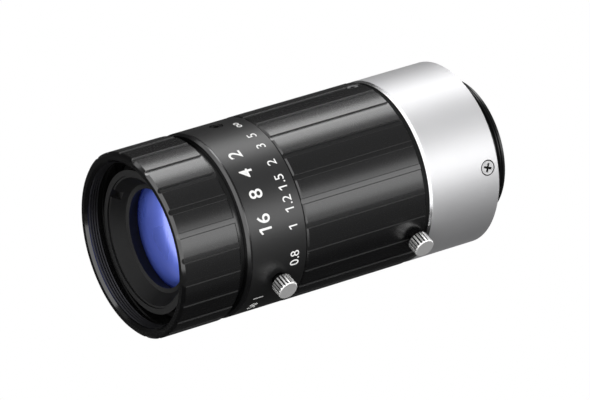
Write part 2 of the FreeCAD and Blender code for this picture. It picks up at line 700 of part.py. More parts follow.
def make_mount_screw(number):
    """A cross recess screw, flush with the barrel."""
    label = f"mount_screw_{number}"
    top = barrel_radius - dim.screw_sink
    under = top - dim.screw_head_height
    tip = under - dim.screw_reach
    body = turned(label, [
        (0, tip), (dim.screw_shank_radius, tip), (dim.screw_shank_radius, under),
        (dim.screw_head_radius, under), (dim.screw_head_radius, top), (0, top)])
    half_length = dim.cross_length / 2
    half_width = dim.cross_width / 2
    arms = (("arm", half_length, half_width), ("cross_arm", half_width, half_length))
    for name, across, along in arms:
        sketch = across_sketch(body, f"{label}_{name}_outline", top, dim.cross_turn)
        outline(sketch, [(across * -1, along * -1), (across, along * -1),
                         (across, along), (across * -1, along)])
        pocket(body, sketch, f"{label}_{name}", dim.cross_depth, reverse=True)
    place_radial(body, screw_station, dim.screw_turn + screw_step * (number - 1))


def make_guide_barrel():
    """The fixed tube: journal of the focus ring, and key slots for the sliding tube."""
    seat = barrel_bore_radius - dim.seat_gap
    seat_end = barrel_step_front - dim.touch_gap
    body = turned("guide_barrel", [
        (guide_tube_bore, guide_front),
        (guide_tube_radius, guide_front),
        (guide_tube_radius, journal_front),
        (journal_radius, journal_front),
        (journal_radius, guide_face),
        (guide_flange_radius, guide_face),
        (guide_flange_radius, barrel_front),
        (seat, barrel_front),
        (seat, seat_end),
        (barrel_web_radius, seat_end),
        (barrel_web_radius, guide_face),
        (guide_tube_bore, guide_face - (barrel_web_radius - guide_tube_bore))])
    half_width = dim.key_radius + dim.run_gap
    sketch = new_sketch(body, "key_slot_outline")
    outline(sketch, [(half_width * -1, key_slot_front), (half_width, key_slot_front),
                     (half_width, key_slot_rear), (half_width * -1, key_slot_rear)])
    pocket(body, sketch, "key_slot", both_ways=True)
    sketch = axial_circle(body, "stop_pin_hole", barrel_front, stop_circle_radius,
                          dim.stop_pin_radius + dim.seat_gap, stop_turn - dim.lock_turn)
    pocket(body, sketch, "stop_pin_hole", barrel_front - guide_face + dim.end_play,
           reverse=True)
    place(body, dim.lock_turn)


def make_focus_retainer():
    outer = focus_journal_bore + dim.retainer_overlap
    inner = guide_tube_radius + dim.seat_gap
    body = turned("focus_retainer", [
        (inner, focus_retainer_front), (outer, focus_retainer_front),
        (outer, journal_front), (inner, journal_front)])
    spanner_notches(body, "focus_retainer_notch", focus_retainer_front, dim.retainer_notch_depth, outer,
                    dim.notch_width)
    place(body, dim.lock_turn)


def make_focus_stop_pin():
    body = new_body("focus_stop_pin")
    sketch = axial_circle(body, "focus_stop_pin", barrel_front, stop_circle_radius,
                          dim.stop_pin_radius)
    pad(body, sketch, "focus_stop_pin_pad", dim.rear_gap + dim.stop_pin_reach, to_front=True)
    place(body, stop_turn)


def make_focus_ring():
    step = journal_front + dim.end_play
    edge = grip_radius - dim.grip_chamfer
    body = turned("focus_ring", [
        (focus_bore, focus_front), (edge, focus_front),
        (grip_radius, focus_front + dim.grip_chamfer),
        (grip_radius, focus_rear - dim.grip_chamfer), (edge, focus_rear),
        (focus_journal_bore, focus_rear), (focus_journal_bore, step), (focus_bore, step)])
    round_flutes(body, "focus_flute", grip_radius, dim.flute_depth,
                 dim.flute_cutter_radius, dim.flute_count)
    radial_holes(body, "focus_lock_hole", focus_lock_station, dim.lock_hole_radius,
                 dim.lock_count)
    reach = dim.stop_pin_radius + dim.run_gap
    inner = stop_circle_radius - reach
    outer = stop_circle_radius + reach
    depth = dim.stop_pin_reach + dim.stop_pin_room
    floor = focus_rear - depth
    beyond = focus_rear + depth
    arc_groove(body, "stop_groove",
               [(inner, floor), (outer, floor), (outer, beyond), (inner, beyond)],
               arc_play(dim.focus_turn, reach, inner))
    place(body, dim.lock_turn)


def hexagon(sketch, radius):
    corners = []
    for side in range(SIX_SIDES):
        angle = side * FULL_TURN / SIX_SIDES
        across = radius * math.cos(math.radians(angle))
        along = radius * round(math.sin(math.radians(angle)), 12)
        corners.append((across, along))
    outline(sketch, corners)


def make_plug_screw(label, station, surface, tip, turn):
    """A short headless screw with a hexagon socket, just under the surface."""
    top = surface - dim.plug_sink
    body = turned(label, [
        (0, tip), (plug_radius, tip), (plug_radius, top), (0, top)])
    sketch = across_sketch(body, label + "_socket_outline", top)
    hexagon(sketch, dim.socket_radius)
    pocket(body, sketch, label + "_socket", dim.socket_depth, reverse=True)
    place_radial(body, station, turn)


def make_thumbscrew(label, station, ring_radius, turn):
    """A lock screw with a fluted head. Its released tip stands just off the inner ring."""
    tip = ring_radius + dim.thumb_tip_gap
    under = barrel_radius + dim.thumb_stand_off
    top = under + dim.thumb_head_length
    shank = thumb_shank_radius
    head = dim.thumb_head_radius
    edge = dim.thumb_chamfer
    body = turned(label, [
        (0, tip), (shank - edge, tip), (shank, tip + edge), (shank, under),
        (head - edge, under), (head, under + edge), (head, top - edge),
        (head - edge, top), (0, top)])
    round_flutes(body, label + "_flute", head, dim.knurl_depth, dim.knurl_radius,
                 dim.knurl_count)
    place_radial(body, station, turn)


def make_front_barrel():
    """The barrel that slides: lip, seat of the scale band, iris journal and sliding tube."""
    body = turned("front_barrel", [
        (cell_bore, inner_tube_front),
        (inner_tube_radius, inner_tube_front),
        (inner_tube_radius, pocket_rear),
        (hub_bore, pocket_rear),
        (hub_bore, lip_front),
        (barrel_radius - dim.lip_chamfer_rise, lip_front),
        (barrel_radius, lip_front + dim.lip_chamfer_length),
        (barrel_radius, band_front),
        (hub_radius, band_front),
        (hub_radius, band_rear),
        (helicoid_radius, band_rear),
        (helicoid_radius, helicoid_rear),
        (slide_bore, helicoid_rear),
        (slide_bore, web_rear),
        (web_bore_radius, web_rear),
        (web_bore_radius, web_front),
        (cell_bore, web_front)])
    radial_holes(body, "iris_lock_hole", iris_lock_station, dim.lock_hole_radius,
                 dim.lock_count, lift=(hub_bore + inner_tube_radius) / 2)
    opposite_holes(body, "key_hole", key_station, dim.key_radius + dim.seat_gap)
    cut_drive_slot(body, "barrel_drive_slot", cell_bore, inner_tube_radius)
    place(body, dim.lock_turn)


def cut_drive_slot(body, name, inner, outer):
    """The arc slot in which the iris drive pin swings."""
    reach = dim.drive_pin_radius + dim.end_play
    front = drive_station - reach
    rear = drive_station + reach
    inside = inner - dim.end_play
    outside = outer + dim.end_play
    arc_groove(body, name,
               [(inside, front), (outside, front), (outside, rear), (inside, rear)],
               arc_play(dim.iris_turn, reach, inner))


def make_scale_band():
    bore = hub_radius + dim.seat_gap
    front = band_front + dim.touch_gap
    body = turned("scale_band", [
        (bore, front), (barrel_radius, front),
        (barrel_radius, band_rear), (bore, band_rear)])
    radial_holes(body, "band_hole", iris_lock_station,
                 dim.lock_hole_radius + dim.band_hole_margin, dim.lock_count)
    place(body, dim.lock_turn)


def make_lens_cell():
    rear = web_front - dim.touch_gap
    body = turned("lens_cell", [
        (cell_mouth_radius, cell_front),
        (cell_radius, cell_front),
        (cell_radius, rear),
        (iris_room_radius, rear),
        (iris_room_radius, iris_room_front),
        (shoulder_radius, iris_room_front),
        (shoulder_radius, pair_seat),
        (front_pair_bore, pair_seat),
        (front_pair_bore, pair_step),
        (front_glass_bore, pair_step),
        (front_glass_bore, cell_seat),
        (cell_mouth_radius, cell_seat)])
    cut_drive_slot(body, "cell_drive_slot", iris_room_radius, cell_radius)
    place(body, dim.lock_turn)


def make_front_retaining_ring():
    """The funnel in front of the glass."""
    outer = cell_mouth_radius - dim.seat_gap
    nose = dim.front_glass_radius - dim.touch_gap
    body = turned("front_retaining_ring", [
        (hood_mouth_radius, hood_front),
        (outer, hood_front),
        (outer, cell_seat - dim.touch_gap),
        (nose, cell_seat - dim.touch_gap),
        (nose, front_glass_rim - dim.touch_gap),
        (front_clear_radius, front_glass_rim - dim.touch_gap),
        (hood_lip_radius, hood_lip),
        (hood_throat_radius - dim.end_play * 2, hood_throat + dim.end_play * 2),
        (hood_throat_radius, hood_throat)])
    spanner_notches(body, "hood_notch", hood_front, dim.notch_depth, cell_mouth_radius,
                    dim.notch_width)
    place(body, dim.hood_turn)


def make_iris_retainer():
    outer = iris_bore + dim.retainer_overlap
    front = inner_tube_front - dim.retainer_height
    body = turned("iris_retainer", [
        (cell_bore, front), (outer, front),
        (outer, inner_tube_front), (cell_bore, inner_tube_front)])
    spanner_notches(body, "iris_retainer_notch", front, dim.retainer_notch_depth, outer,
                    dim.notch_width)
    place(body, dim.hood_turn)


def make_front_glass():
    """First element, spacer and the front cemented pair."""
    clear = front_clear_radius
    place(turned("front_element", [
        (0, first_vertex), (clear, front_glass_rim),
        (dim.front_glass_radius, front_glass_rim),
        (dim.front_glass_radius, first_back_rim), (clear, first_back_rim),
        (0, first_back)],
        {0: (dim.first_curve, "behind"), 4: (dim.first_back_curve, "behind")}), 0)
    spacer_front = first_back_rim + dim.touch_gap
    spacer_rear = second_rim - dim.touch_gap
    place(turned("spacer_ring", [
        (clear, spacer_front), (dim.front_glass_radius, spacer_front),
        (dim.front_glass_radius, spacer_rear), (front_pair_clear, spacer_rear)]), 0)
    place(turned("front_pair_crown", [
        (0, second_vertex), (front_pair_clear, second_rim),
        (front_pair_radius, second_rim), (front_pair_radius, front_cement_rim),
        (0, front_cement)],
        {0: (dim.second_curve, "behind"), 3: (dim.front_cement_curve, "behind")}), 0)
    place(turned("front_pair_flint", [
        (0, front_cement), (front_pair_radius, front_cement_rim),
        (front_pair_radius, third_rim), (third_clear_radius, third_rim),
        (0, third_back)],
        {0: (dim.front_cement_curve, "behind"), 3: (dim.third_curve, "behind")}), 0)


def make_iris_base_plate():
    """The fixed plate in which the blades pivot."""
    outer = iris_room_radius - dim.seat_gap
    rear = plate_front + dim.plate_thickness
    body = turned("iris_base_plate", [
        (plate_aperture_radius, plate_front), (outer, plate_front),
        (outer, rear), (plate_aperture_radius, rear)])
    sketch = axial_circle(body, "pivot_hole", plate_front, blade_pivot_radius,
                          dim.blade_pin_radius + dim.run_gap)
    hole = pocket(body, sketch, "pivot_hole", dim.pin_bite + dim.end_play)
    repeat_round(body, hole, dim.blade_count)
    place(body, blade_turn)


def turned_back(vector, angle):
    """A point across the axis, turned about +Y by an angle, as (X, Z)."""
    radians = math.radians(angle)
    return (vector[0] * math.cos(radians) + vector[1] * math.sin(radians),
            vector[1] * math.cos(radians) - vector[0] * math.sin(radians))


def cam_point(share):
    """Where a blade's drive pin stands in the cam ring after a share of the whole turn."""
    arm = turned_back((dim.blade_arm_along.number, -dim.blade_arm_inward.number),
                      dim.blade_swing.number * share)
    pin = (arm[0], blade_pivot_radius.number + arm[1])
    across, up = turned_back(pin, -dim.iris_turn.number * share)
    return FreeCAD.Vector(across, 0, up)


def cam_slot(half_width, length):
    """A solid as wide as the slot, along the path of the drive pin in the cam ring."""
    points = [cam_point(share) for share in (0, 0.5, 1)]
    path = Part.Arc(*points).toShape().Curve
    sides = []
    for shift in (-half_width, half_width):
        growth = (path.Radius + shift) / path.Radius
        sides.append([path.Center + (point - path.Center) * growth for point in points])
    edges = [Part.Arc(*side).toShape() for side in sides]
    run = points[-1] - points[0]
    for index, way in ((0, 1), (-1, -1)):
        along = (points[index] - path.Center).cross(AXIS_Y).normalize()
        outwards = -way if along.dot(run) > 0 else way
        bulge = points[index] + along * (outwards * half_width)
        edges.append(Part.Arc(sides[0][index], bulge, sides[1][index]).toShape())
    wire = Part.Wire(Part.__sortEdges__(edges))
    return Part.Face(wire).extrude(AXIS_Y * length)


def make_iris_cam_ring():
    """The ring whose six curved slots swing the blades.

    A slot follows from the blades' arms and turns, so its shape is worked out here.
    """
    thickness = dim.cam_thickness.number
    outer = (iris_room_radius - dim.run_gap).number
    ring = Part.makeCylinder(outer, thickness, FreeCAD.Vector(), AXIS_Y)
    ring = ring.cut(Part.makeCylinder(
        cam_inner_radius.number, thickness, FreeCAD.Vector(), AXIS_Y))
    slot = cam_slot((dim.blade_pin_radius + dim.run_gap).number, thickness)
    for number in range(int(dim.blade_count.number)):
        copy = slot.copy()
        copy.rotate(FreeCAD.Vector(), AXIS_Y, number * blade_step.number)
        ring = ring.cut(copy)
    pin_hole = Part.makeCylinder(
        (dim.drive_pin_radius + dim.seat_gap).number, outer,
        FreeCAD.Vector(0, thickness / 2, (drive_pin_inner - dim.touch_gap).number),
        FreeCAD.Vector(0, 0, 1))
    pin_hole.rotate(FreeCAD.Vector(), AXIS_Y, -dim.drive_lead.number)
    piece = doc.addObject("Part::Feature", "iris_cam_ring")
    piece.Label = "iris_cam_ring"
    piece.Shape = ring.cut(pin_hole)
    base = cam_front - flange
    piece.Placement = FreeCAD.Placement(
        FreeCAD.Vector(0, base.number, 0), FreeCAD.Rotation(AXIS_Y, blade_turn.number))
    pieces.append(piece)


def make_iris_drive_pin():
    """The pin that joins the iris ring to the cam ring."""
    top = skirt_radius - dim.drive_pin_sink
    body = turned("iris_drive_pin", [
        (0, drive_pin_inner), (dim.drive_pin_radius, drive_pin_inner),
        (dim.drive_pin_radius, top), (0, top)])
    place_radial(body, drive_station, drive_turn)


def make_iris_blade(number):
    """A curved blade with a pivot pin to the rear and a drive pin to the front."""
    label = f"iris_blade_{number}"
    body = new_body(label)
    front = first_blade + blade_pitch * (number - 1)
    rear = front + dim.blade_thickness
    sketch = body.newObject("Sketcher::SketchObject", label + "_section")
    sketch.AttachmentSupport = [(origin_part(body, "YZ_Plane"), "")]
    sketch.MapMode = "FlatFace"
    outline(sketch, [(front, blade_inner_radius), (rear, blade_inner_radius),
                     (rear, blade_outer_radius), (front, blade_outer_radius)])
    revolve(body, sketch, label + "_leaf", dim.blade_span)
    pivot = (size_of(0), blade_pivot_radius)
    drive = (dim.blade_arm_along, blade_pivot_radius - dim.blade_arm_inward)
    root = blade_outer_radius - dim.blade_tab_radius
    sketch = across_sketch(body, label + "_root_outline", front)
    outline(sketch, [(0, root), (drive[0], root), drive, pivot])
    pad(body, sketch, label + "_root", dim.blade_thickness, to_front=False)
    for name, centre, radius in (("pivot_end", pivot, dim.blade_tab_radius),
                                 ("drive_end", drive, dim.blade_tab_radius)):
        sketch = across_sketch(body, f"{label}_{name}_circle", front)
        circle_at(sketch, *centre, radius)
        pad(body, sketch, f"{label}_{name}", dim.blade_thickness, to_front=False)
    sketch = across_sketch(body, label + "_pivot_circle", front)
    circle_at(sketch, *pivot, dim.blade_pin_radius)
    pad(body, sketch, label + "_pivot_pin", plate_front + dim.pin_bite - front,
        to_front=False)
    sketch = across_sketch(body, label + "_drive_circle", rear)
    circle_at(sketch, *drive, dim.blade_pin_radius)
    pad(body, sketch, label + "_drive_pin", rear - cam_rear + dim.pin_bite, to_front=True)
    place(body, blade_turn + blade_step * (number - 1))


def make_iris_ring():
    """The front grip ring: filter thread inside its mouth, long skirt behind it."""
    shoulder = inner_tube_front + dim.end_play
    edge = grip_radius - dim.grip_chamfer
    body = turned("iris_ring", [
        (rim_radius, 0),
        (grip_radius - dim.rim_chamfer, 0),
        (grip_radius, dim.rim_chamfer),
        (grip_radius, dim.iris_ring_length - dim.grip_chamfer),
        (edge, dim.iris_ring_length),
        (skirt_radius, dim.iris_ring_length),
        (skirt_radius, skirt_end),
        (iris_bore, skirt_end),
        (iris_bore, shoulder),
        (recess_radius, shoulder),
        (recess_radius, dim.filter_relief_end),
        (filter_relief_radius, dim.filter_relief_end),
        (filter_relief_radius, dim.filter_thread_end),
        (filter_thread_radius, dim.filter_thread_end),
        (filter_thread_radius, dim.mouth_bevel)])
    round_flutes(body, "iris_flute", grip_radius, dim.flute_depth,
                 dim.flute_cutter_radius, dim.flute_count)
    sketch = new_sketch(body, "drive_pin_circle", turn=drive_turn - dim.iris_grip_turn)
    circle_at(sketch, 0, drive_station, dim.drive_pin_radius + dim.seat_gap)
    pocket(body, sketch, "drive_pin_hole", reverse=True)
    place(body, dim.iris_grip_turn)


def make_rear_cell():
    spigot = web_bore_radius - dim.seat_gap
    place(turned("rear_cell", [
        (rear_lip_radius, rear_cell_front),
        (spigot, rear_cell_front),
        (spigot, web_rear + dim.touch_gap),
        (rear_cell_radius, web_rear + dim.touch_gap),
        (rear_cell_radius, rear_cell_rear),
        (last_bore, rear_cell_rear),
        (last_bore, rear_step),
        (rear_pair_bore, rear_step),
        (rear_pair_bore, rear_lip_rear),
        (rear_lip_radius, rear_lip_rear)]), 0)


def make_rear_glass():
    """The rear cemented pair, its spacer, the last element and its retaining ring."""
    place(turned("rear_pair_flint", [
        (0, fourth_vertex), (fourth_clear_radius, fourth_rim),
        (rear_pair_radius, fourth_rim), (rear_pair_radius, rear_cement_rim),
        (0, rear_cement)],
        {0: (dim.fourth_curve, "front"), 3: (dim.rear_cement_curve, "behind")}), 0)
    place(turned("rear_pair_crown", [
        (0, rear_cement), (rear_pair_radius, rear_cement_rim),
        (rear_pair_radius, fifth_rim), (fifth_clear_radius, fifth_rim),
        (0, fifth_back)],
        {0: (dim.rear_cement_curve, "behind"), 3: (dim.fifth_curve, "front")}), 0)
    spacer_rear = last_rim - dim.touch_gap
    nose = rear_pair_radius - dim.touch_gap
    place(turned("rear_spacer", [
        (fifth_clear_radius, fifth_rim + dim.touch_gap),
        (nose, fifth_rim + dim.touch_gap), (nose, rear_step + dim.touch_gap),
        (last_radius, rear_step + dim.touch_gap), (last_radius, spacer_rear),
        (last_clear_radius, spacer_rear)]), 0)
    place(turned("rear_element", [
        (0, last_vertex), (last_clear_radius, last_rim),
        (last_radius, last_rim), (last_radius, last_back_rim),
        (last_clear_radius, last_back_rim), (0, last_back)],
        {0: (dim.last_front_curve, "behind"), 4: (dim.last_back_curve, "front")}), 0)
    ring = turned("rear_retaining_ring", [
        (last_clear_radius, rear_ring_front), (last_radius, rear_ring_front),
        (last_radius, rear_ring_rear), (last_clear_radius, rear_ring_rear)])
    spanner_notches(ring, "rear_ring_notch", rear_ring_rear, dim.retainer_notch_depth,
                    last_radius, dim.notch_width, to_front=False)
    place(ring, 0)


def make_guide_key(number, turn):
    """A key that keeps the sliding tube from turning."""
    tip = guide_tube_radius - dim.key_reach
    top = helicoid_radius - dim.key_sink
    body = turned(f"guide_key_{number}", [
        (0, tip), (dim.key_radius, tip), (dim.key_radius, top), (0, top)])
    place_radial(body, key_station, turn)


make_mount_barrel()
make_mount_ring()
for screw_number in range(1, int(dim.barrel_screw_count.number) + 1):
    make_mount_screw(screw_number)
make_guide_barrel()
make_focus_retainer()
make_focus_stop_pin()
make_focus_ring()
make_thumbscrew("focus_lock_screw", focus_lock_station, journal_radius,
                dim.lock_turn + lock_step)
make_thumbscrew("iris_lock_screw", iris_lock_station, skirt_radius,
                dim.lock_turn + lock_step)
for plug_number, plug_turn in ((1, dim.lock_turn), (2, dim.lock_turn + lock_step * 2)):
    make_plug_screw(f"focus_plug_screw_{plug_number}", focus_lock_station, grip_radius,
                    journal_radius + dim.thumb_tip_gap * 2, plug_turn)
    make_plug_screw(f"iris_plug_screw_{plug_number}", iris_lock_station,
                    barrel_radius, skirt_radius + dim.thumb_tip_gap, plug_turn)
make_front_barrel()
make_scale_band()
make_lens_cell()
make_front_retaining_ring()
make_iris_retainer()
make_front_glass()
make_iris_base_plate()
make_iris_cam_ring()
make_iris_drive_pin()
for blade_number in range(1, int(dim.blade_count.number) + 1):
    make_iris_blade(blade_number)
make_iris_ring()
make_rear_cell()
make_rear_glass()
make_guide_key(1, dim.lock_turn)
make_guide_key(2, dim.lock_turn + HALF_TURN)

doc.recompute()
for item in doc.Objects:
    if "Invalid" in item.State or "Error" in item.State:
        raise RuntimeError(f"{item.Label} did not build: {item.State}")

os.makedirs("parts", exist_ok=True)
for piece in pieces:
    shape = piece.Shape
    if shape.isNull() or not shape.isValid() or len(shape.Solids) != 1:
        raise RuntimeError(f"{piece.Label} is not one sound solid")
    shape.exportStep(f"parts/{piece.Label}.step")
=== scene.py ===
"""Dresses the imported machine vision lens: finishes, screw threads, scale marks and a studio."""

import math

import bmesh
import bpy
from bpy.props import FloatProperty, FloatVectorProperty, IntProperty, PointerProperty
from mathutils import Matrix, Vector


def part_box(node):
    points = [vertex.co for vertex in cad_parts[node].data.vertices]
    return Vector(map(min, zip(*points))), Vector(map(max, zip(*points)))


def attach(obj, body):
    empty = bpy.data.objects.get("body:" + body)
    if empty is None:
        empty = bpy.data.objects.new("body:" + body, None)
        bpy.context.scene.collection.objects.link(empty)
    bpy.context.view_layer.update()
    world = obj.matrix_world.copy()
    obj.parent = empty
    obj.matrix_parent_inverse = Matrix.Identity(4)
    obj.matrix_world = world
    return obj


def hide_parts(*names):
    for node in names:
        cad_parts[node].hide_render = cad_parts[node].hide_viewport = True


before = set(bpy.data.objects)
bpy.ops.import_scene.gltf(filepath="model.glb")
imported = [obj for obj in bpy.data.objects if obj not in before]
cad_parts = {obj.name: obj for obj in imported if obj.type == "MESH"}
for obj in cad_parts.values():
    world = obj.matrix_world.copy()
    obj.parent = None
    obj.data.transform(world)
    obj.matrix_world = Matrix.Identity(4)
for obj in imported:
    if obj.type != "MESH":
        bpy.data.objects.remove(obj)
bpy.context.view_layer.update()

bl_info = {
    "name": "Machine vision lens",
    "version": (1, 0, 0),
    "blender": (4, 5, 0),
    "location": "View3D > Sidebar > Lens",
    "description": "Finishes, threads, scale marks and studio for a machine vision lens",
    "category": "Object",
}

MM = 0.001
FRONT_FACE = -66.8 * MM

# Corners closer than this become one, in meshes made here and in the loose solids.
WELD = 1e-7
SOLID_WELD = 1e-6

GRIP_NODES = ("iris_ring", "focus_ring")
DARK_PLUG_NODES = ("iris_plug_screw_1", "iris_plug_screw_2")
BRIGHT_PLUG_NODES = ("focus_plug_screw_1", "focus_plug_screw_2")
MOUNT_SCREW_NODES = ("mount_screw_1", "mount_screw_2", "mount_screw_3")
THUMBSCREW_NODES = ("focus_lock_screw", "iris_lock_screw")
INNER_NODES = (
    "lens_cell", "rear_cell", "front_retaining_ring", "iris_retainer", "spacer_ring",
    "rear_spacer", "rear_retaining_ring", "guide_barrel", "focus_retainer",
    "iris_base_plate", "iris_cam_ring")
BLADE_NODES = tuple(f"iris_blade_{number}" for number in range(1, 7))
PIN_NODES = ("guide_key_1", "guide_key_2", "focus_stop_pin", "iris_drive_pin")
INNER_GLASS_NODES = (
    "front_pair_crown", "front_pair_flint", "rear_pair_flint", "rear_pair_crown",
    "rear_element")

# Where the two lock screws stand, from the top towards +X.
LOCK_TURN = math.radians(108.0)

# The height of a digit as a share of the lettering's size.
DIGIT_SHARE = 0.69

# Printed numbers on the scale band, each with its angle in degrees from the top towards +X,
# and the place of each row along the optical axis.
APERTURE_ROW = (("2", 22.5), ("4", 36.5), ("8", 50.5), ("16", 69.0))
DISTANCE_ROW = (
    ("∞", -4.0), ("5", 11.2), ("3", 21.4), ("2", 34.5), ("1.5", 47.8), ("1.2", 61.3),
    ("1", 75.0), ("0.8", 96.0))
INDEX_ANGLE = 122.0
FOCAL_ROW = (("50", 132.5),)
APERTURE_PLACE = FRONT_FACE + 17.4 * MM
DISTANCE_PLACE = FRONT_FACE + 22.97 * MM
INDEX_PLACE = FRONT_FACE + 17.0 * MM

# Toned cards that only shiny pieces mirror: the name, the first and last angle in degrees from
# the top towards +X, the radiance, and in metres the start and stop along the optical axis and
# the distance from it.
CARDS = (
    ("top_card", -50.0, 95.0, 0.22, -1.0, 1.1, 0.75),
    ("right_card", 95.0, 135.0, 0.15, -0.5, 0.5, 0.28),
    ("rim_card", -30.0, 118.0, 2.2, -0.8, -0.25, 0.28),
    ("bevel_card", -50.0, 118.0, 1.8, -0.25, -0.07, 0.28),
    ("low_card", 135.0, 212.0, 0.03, -0.5, 0.5, 0.28),
    ("left_card", 212.0, 310.0, 0.08, -0.02, 0.5, 0.28),
    ("front_card", 212.0, 310.0, 0.05, -0.28, -0.02, 0.28),
    ("glass_card", 180.0, 275.0, 2.8, -0.52, -0.28, 0.28),
    ("glass_edge_card", 275.0, 300.0, 1.4, -0.52, -0.28, 0.28))

# The camera of the photograph: angles in degrees, places in metres, lens in millimetres.
CAMERA_AZIMUTH = 56.119
CAMERA_ELEVATION = 26.589
CAMERA_DISTANCE = 0.9692
CAMERA_AIM = -34.65 * MM
CAMERA_OFFSET = 1.743 * MM
CAMERA_FOCAL_LENGTH = 335.06
CAMERA_SENSOR = 36.0


class LensSizes(bpy.types.PropertyGroup):
    """Sizes of what the scene adds to the lens."""

    shading_angle: FloatProperty(
        name="Edge angle", description="Edges sharper than this stay crisp",
        default=math.radians(26), min=0.0, max=math.pi, subtype="ANGLE")
    filter_radius: FloatProperty(
        name="Filter thread radius", description="Bore that carries the filter thread",
        default=15.0 * MM, min=10 * MM, max=20 * MM, precision=5, unit="LENGTH")
    filter_start: FloatProperty(
        name="Filter thread start", description="First crest behind the front face",
        default=0.6 * MM, min=0.2 * MM, max=2 * MM, precision=5, unit="LENGTH")
    filter_length: FloatProperty(
        name="Filter thread length", description="Along the axis",
        default=2.0 * MM, min=0.5 * MM, max=3 * MM, precision=5, unit="LENGTH")
    filter_pitch: FloatProperty(
        name="Filter thread pitch", description="From one crest of the filter thread to the next",
        default=0.5 * MM, min=0.2 * MM, max=1.0 * MM, precision=5, unit="LENGTH")
    filter_depth: FloatProperty(
        name="Filter thread depth", description="Height of the filter thread's crests",
        default=0.2 * MM, min=0.05 * MM, max=0.5 * MM, precision=5, unit="LENGTH")
    mount_radius: FloatProperty(
        name="Mount thread radius", description="Over the crests of the one inch thread",
        default=12.7 * MM, min=12.0 * MM, max=13.0 * MM, precision=5, unit="LENGTH")
    mount_pitch: FloatProperty(
        name="Mount thread pitch", description="One inch divided by thirty-two",
        default=25.4 / 32 * MM, min=0.5 * MM, max=1.5 * MM, precision=6, unit="LENGTH")
    mount_depth: FloatProperty(
        name="Mount thread depth", description="Height of the mount thread's crests",
        default=0.46 * MM, min=0.1 * MM, max=0.6 * MM, precision=5, unit="LENGTH")
    thread_steps: IntProperty(
        name="Thread steps", description="Points in each turn of a thread",
        default=144, min=24, max=256)
    round_steps: IntProperty(
        name="Round steps", description="Points round a turned piece",
        default=192, min=48, max=512)
    aperture_height: FloatProperty(
        name="Aperture numbers", description="Height of the row of larger numbers",
        default=2.5 * MM, min=1.0 * MM, max=4.0 * MM, precision=5, unit="LENGTH")
    distance_height: FloatProperty(
        name="Distance numbers", description="Height of the row of smaller numbers",
        default=1.75 * MM, min=1.0 * MM, max=4.0 * MM, precision=5, unit="LENGTH")
    focal_height: FloatProperty(
        name="Focal length number", description="Height of the number beside the index line",
        default=1.6 * MM, min=0.8 * MM, max=4.0 * MM, precision=5, unit="LENGTH")
    index_width: FloatProperty(
        name="Index width", description="Width of the printed index line",
        default=0.14 * MM, min=0.05 * MM, max=0.5 * MM, precision=5, unit="LENGTH")
    index_length: FloatProperty(
        name="Index length", description="Length of the printed index line",
        default=2.1 * MM, min=0.5 * MM, max=4.0 * MM, precision=5, unit="LENGTH")
    ink_thickness: FloatProperty(
        name="Ink thickness", description="How far the printed marks stand off the band",
        default=0.03 * MM, min=0.005 * MM, max=0.1 * MM, precision=6, unit="LENGTH")


class LensColours(bpy.types.PropertyGroup):
    """Colours of the lens."""

    black: FloatVectorProperty(
        name="Black", description="Black anodised outside", subtype="COLOR",
        default=(0.003, 0.003, 0.0033), min=0.0, max=1.0)
    inner_black: FloatVectorProperty(
        name="Inner black", description="Matt black inside", subtype="COLOR",
        default=(0.006, 0.006, 0.006), min=0.0, max=1.0)
    bright: FloatVectorProperty(
        name="Bright metal", description="Barrel at the rear", subtype="COLOR",
        default=(0.71, 0.71, 0.72), min=0.0, max=1.0)
    steel: FloatVectorProperty(
        name="Steel", description="Pins and keys inside", subtype="COLOR",
        default=(0.66, 0.65, 0.63), min=0.0, max=1.0)
    thumbscrew: FloatVectorProperty(
        name="Thumbscrew metal", description="Knurled lock screws", subtype="COLOR",
        default=(0.95, 0.94, 0.93), min=0.0, max=1.0)
    coating: FloatVectorProperty(
        name="Coating", description="Reflection of the front glass", subtype="COLOR",
        default=(0.13, 0.21, 0.95), min=0.0, max=1.0)
    ink: FloatVectorProperty(
        name="Ink", description="Printed marks", subtype="COLOR",
        default=(0.86, 0.86, 0.85), min=0.0, max=1.0)


def sizes():
    return bpy.context.scene.lens_sizes


def colours():
    return bpy.context.scene.lens_colours


def outer_radius(name):
    """How far a CAD node reaches from the optical axis."""
    return max(math.hypot(v.co.x, v.co.z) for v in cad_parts[name].data.vertices)


# Finishes

def new_finish(name):
    """A material and its Principled shader."""
    material = bpy.data.materials.new(name)
    material.use_nodes = True
    return material, material.node_tree.nodes["Principled BSDF"]


def add_node(tree, kind, **settings):
    node = tree.nodes.new(kind)
    for key, value in settings.items():
        setattr(node, key, value)
    return node


def object_coordinates(tree):
    return add_node(tree, "ShaderNodeTexCoord").outputs["Object"]


def axis_place(tree):
    """Place along the optical axis, in object coordinates."""
    parts = add_node(tree, "ShaderNodeSeparateXYZ")
    tree.links.new(object_coordinates(tree), parts.inputs["Vector"])
    return parts.outputs["Y"]


def off_axis(tree):
    """The way straight out from the optical axis, in object coordinates."""
    parts = add_node(tree, "ShaderNodeSeparateXYZ")
    tree.links.new(object_coordinates(tree), parts.inputs["Vector"])
    flat = add_node(tree, "ShaderNodeCombineXYZ")
    tree.links.new(parts.outputs["X"], flat.inputs["X"])
    tree.links.new(parts.outputs["Z"], flat.inputs["Z"])
    return flat.outputs["Vector"]


def vector_math(tree, operation, first, second=None):
    """A vector node, whose second input is a socket or a fixed vector."""
    node = add_node(tree, "ShaderNodeVectorMath", operation=operation)
    tree.links.new(first, node.inputs[0])
    if isinstance(second, bpy.types.NodeSocket):
        tree.links.new(second, node.inputs[1])
    elif second is not None:
        node.inputs[1].default_value = second
    return node.outputs["Vector"]


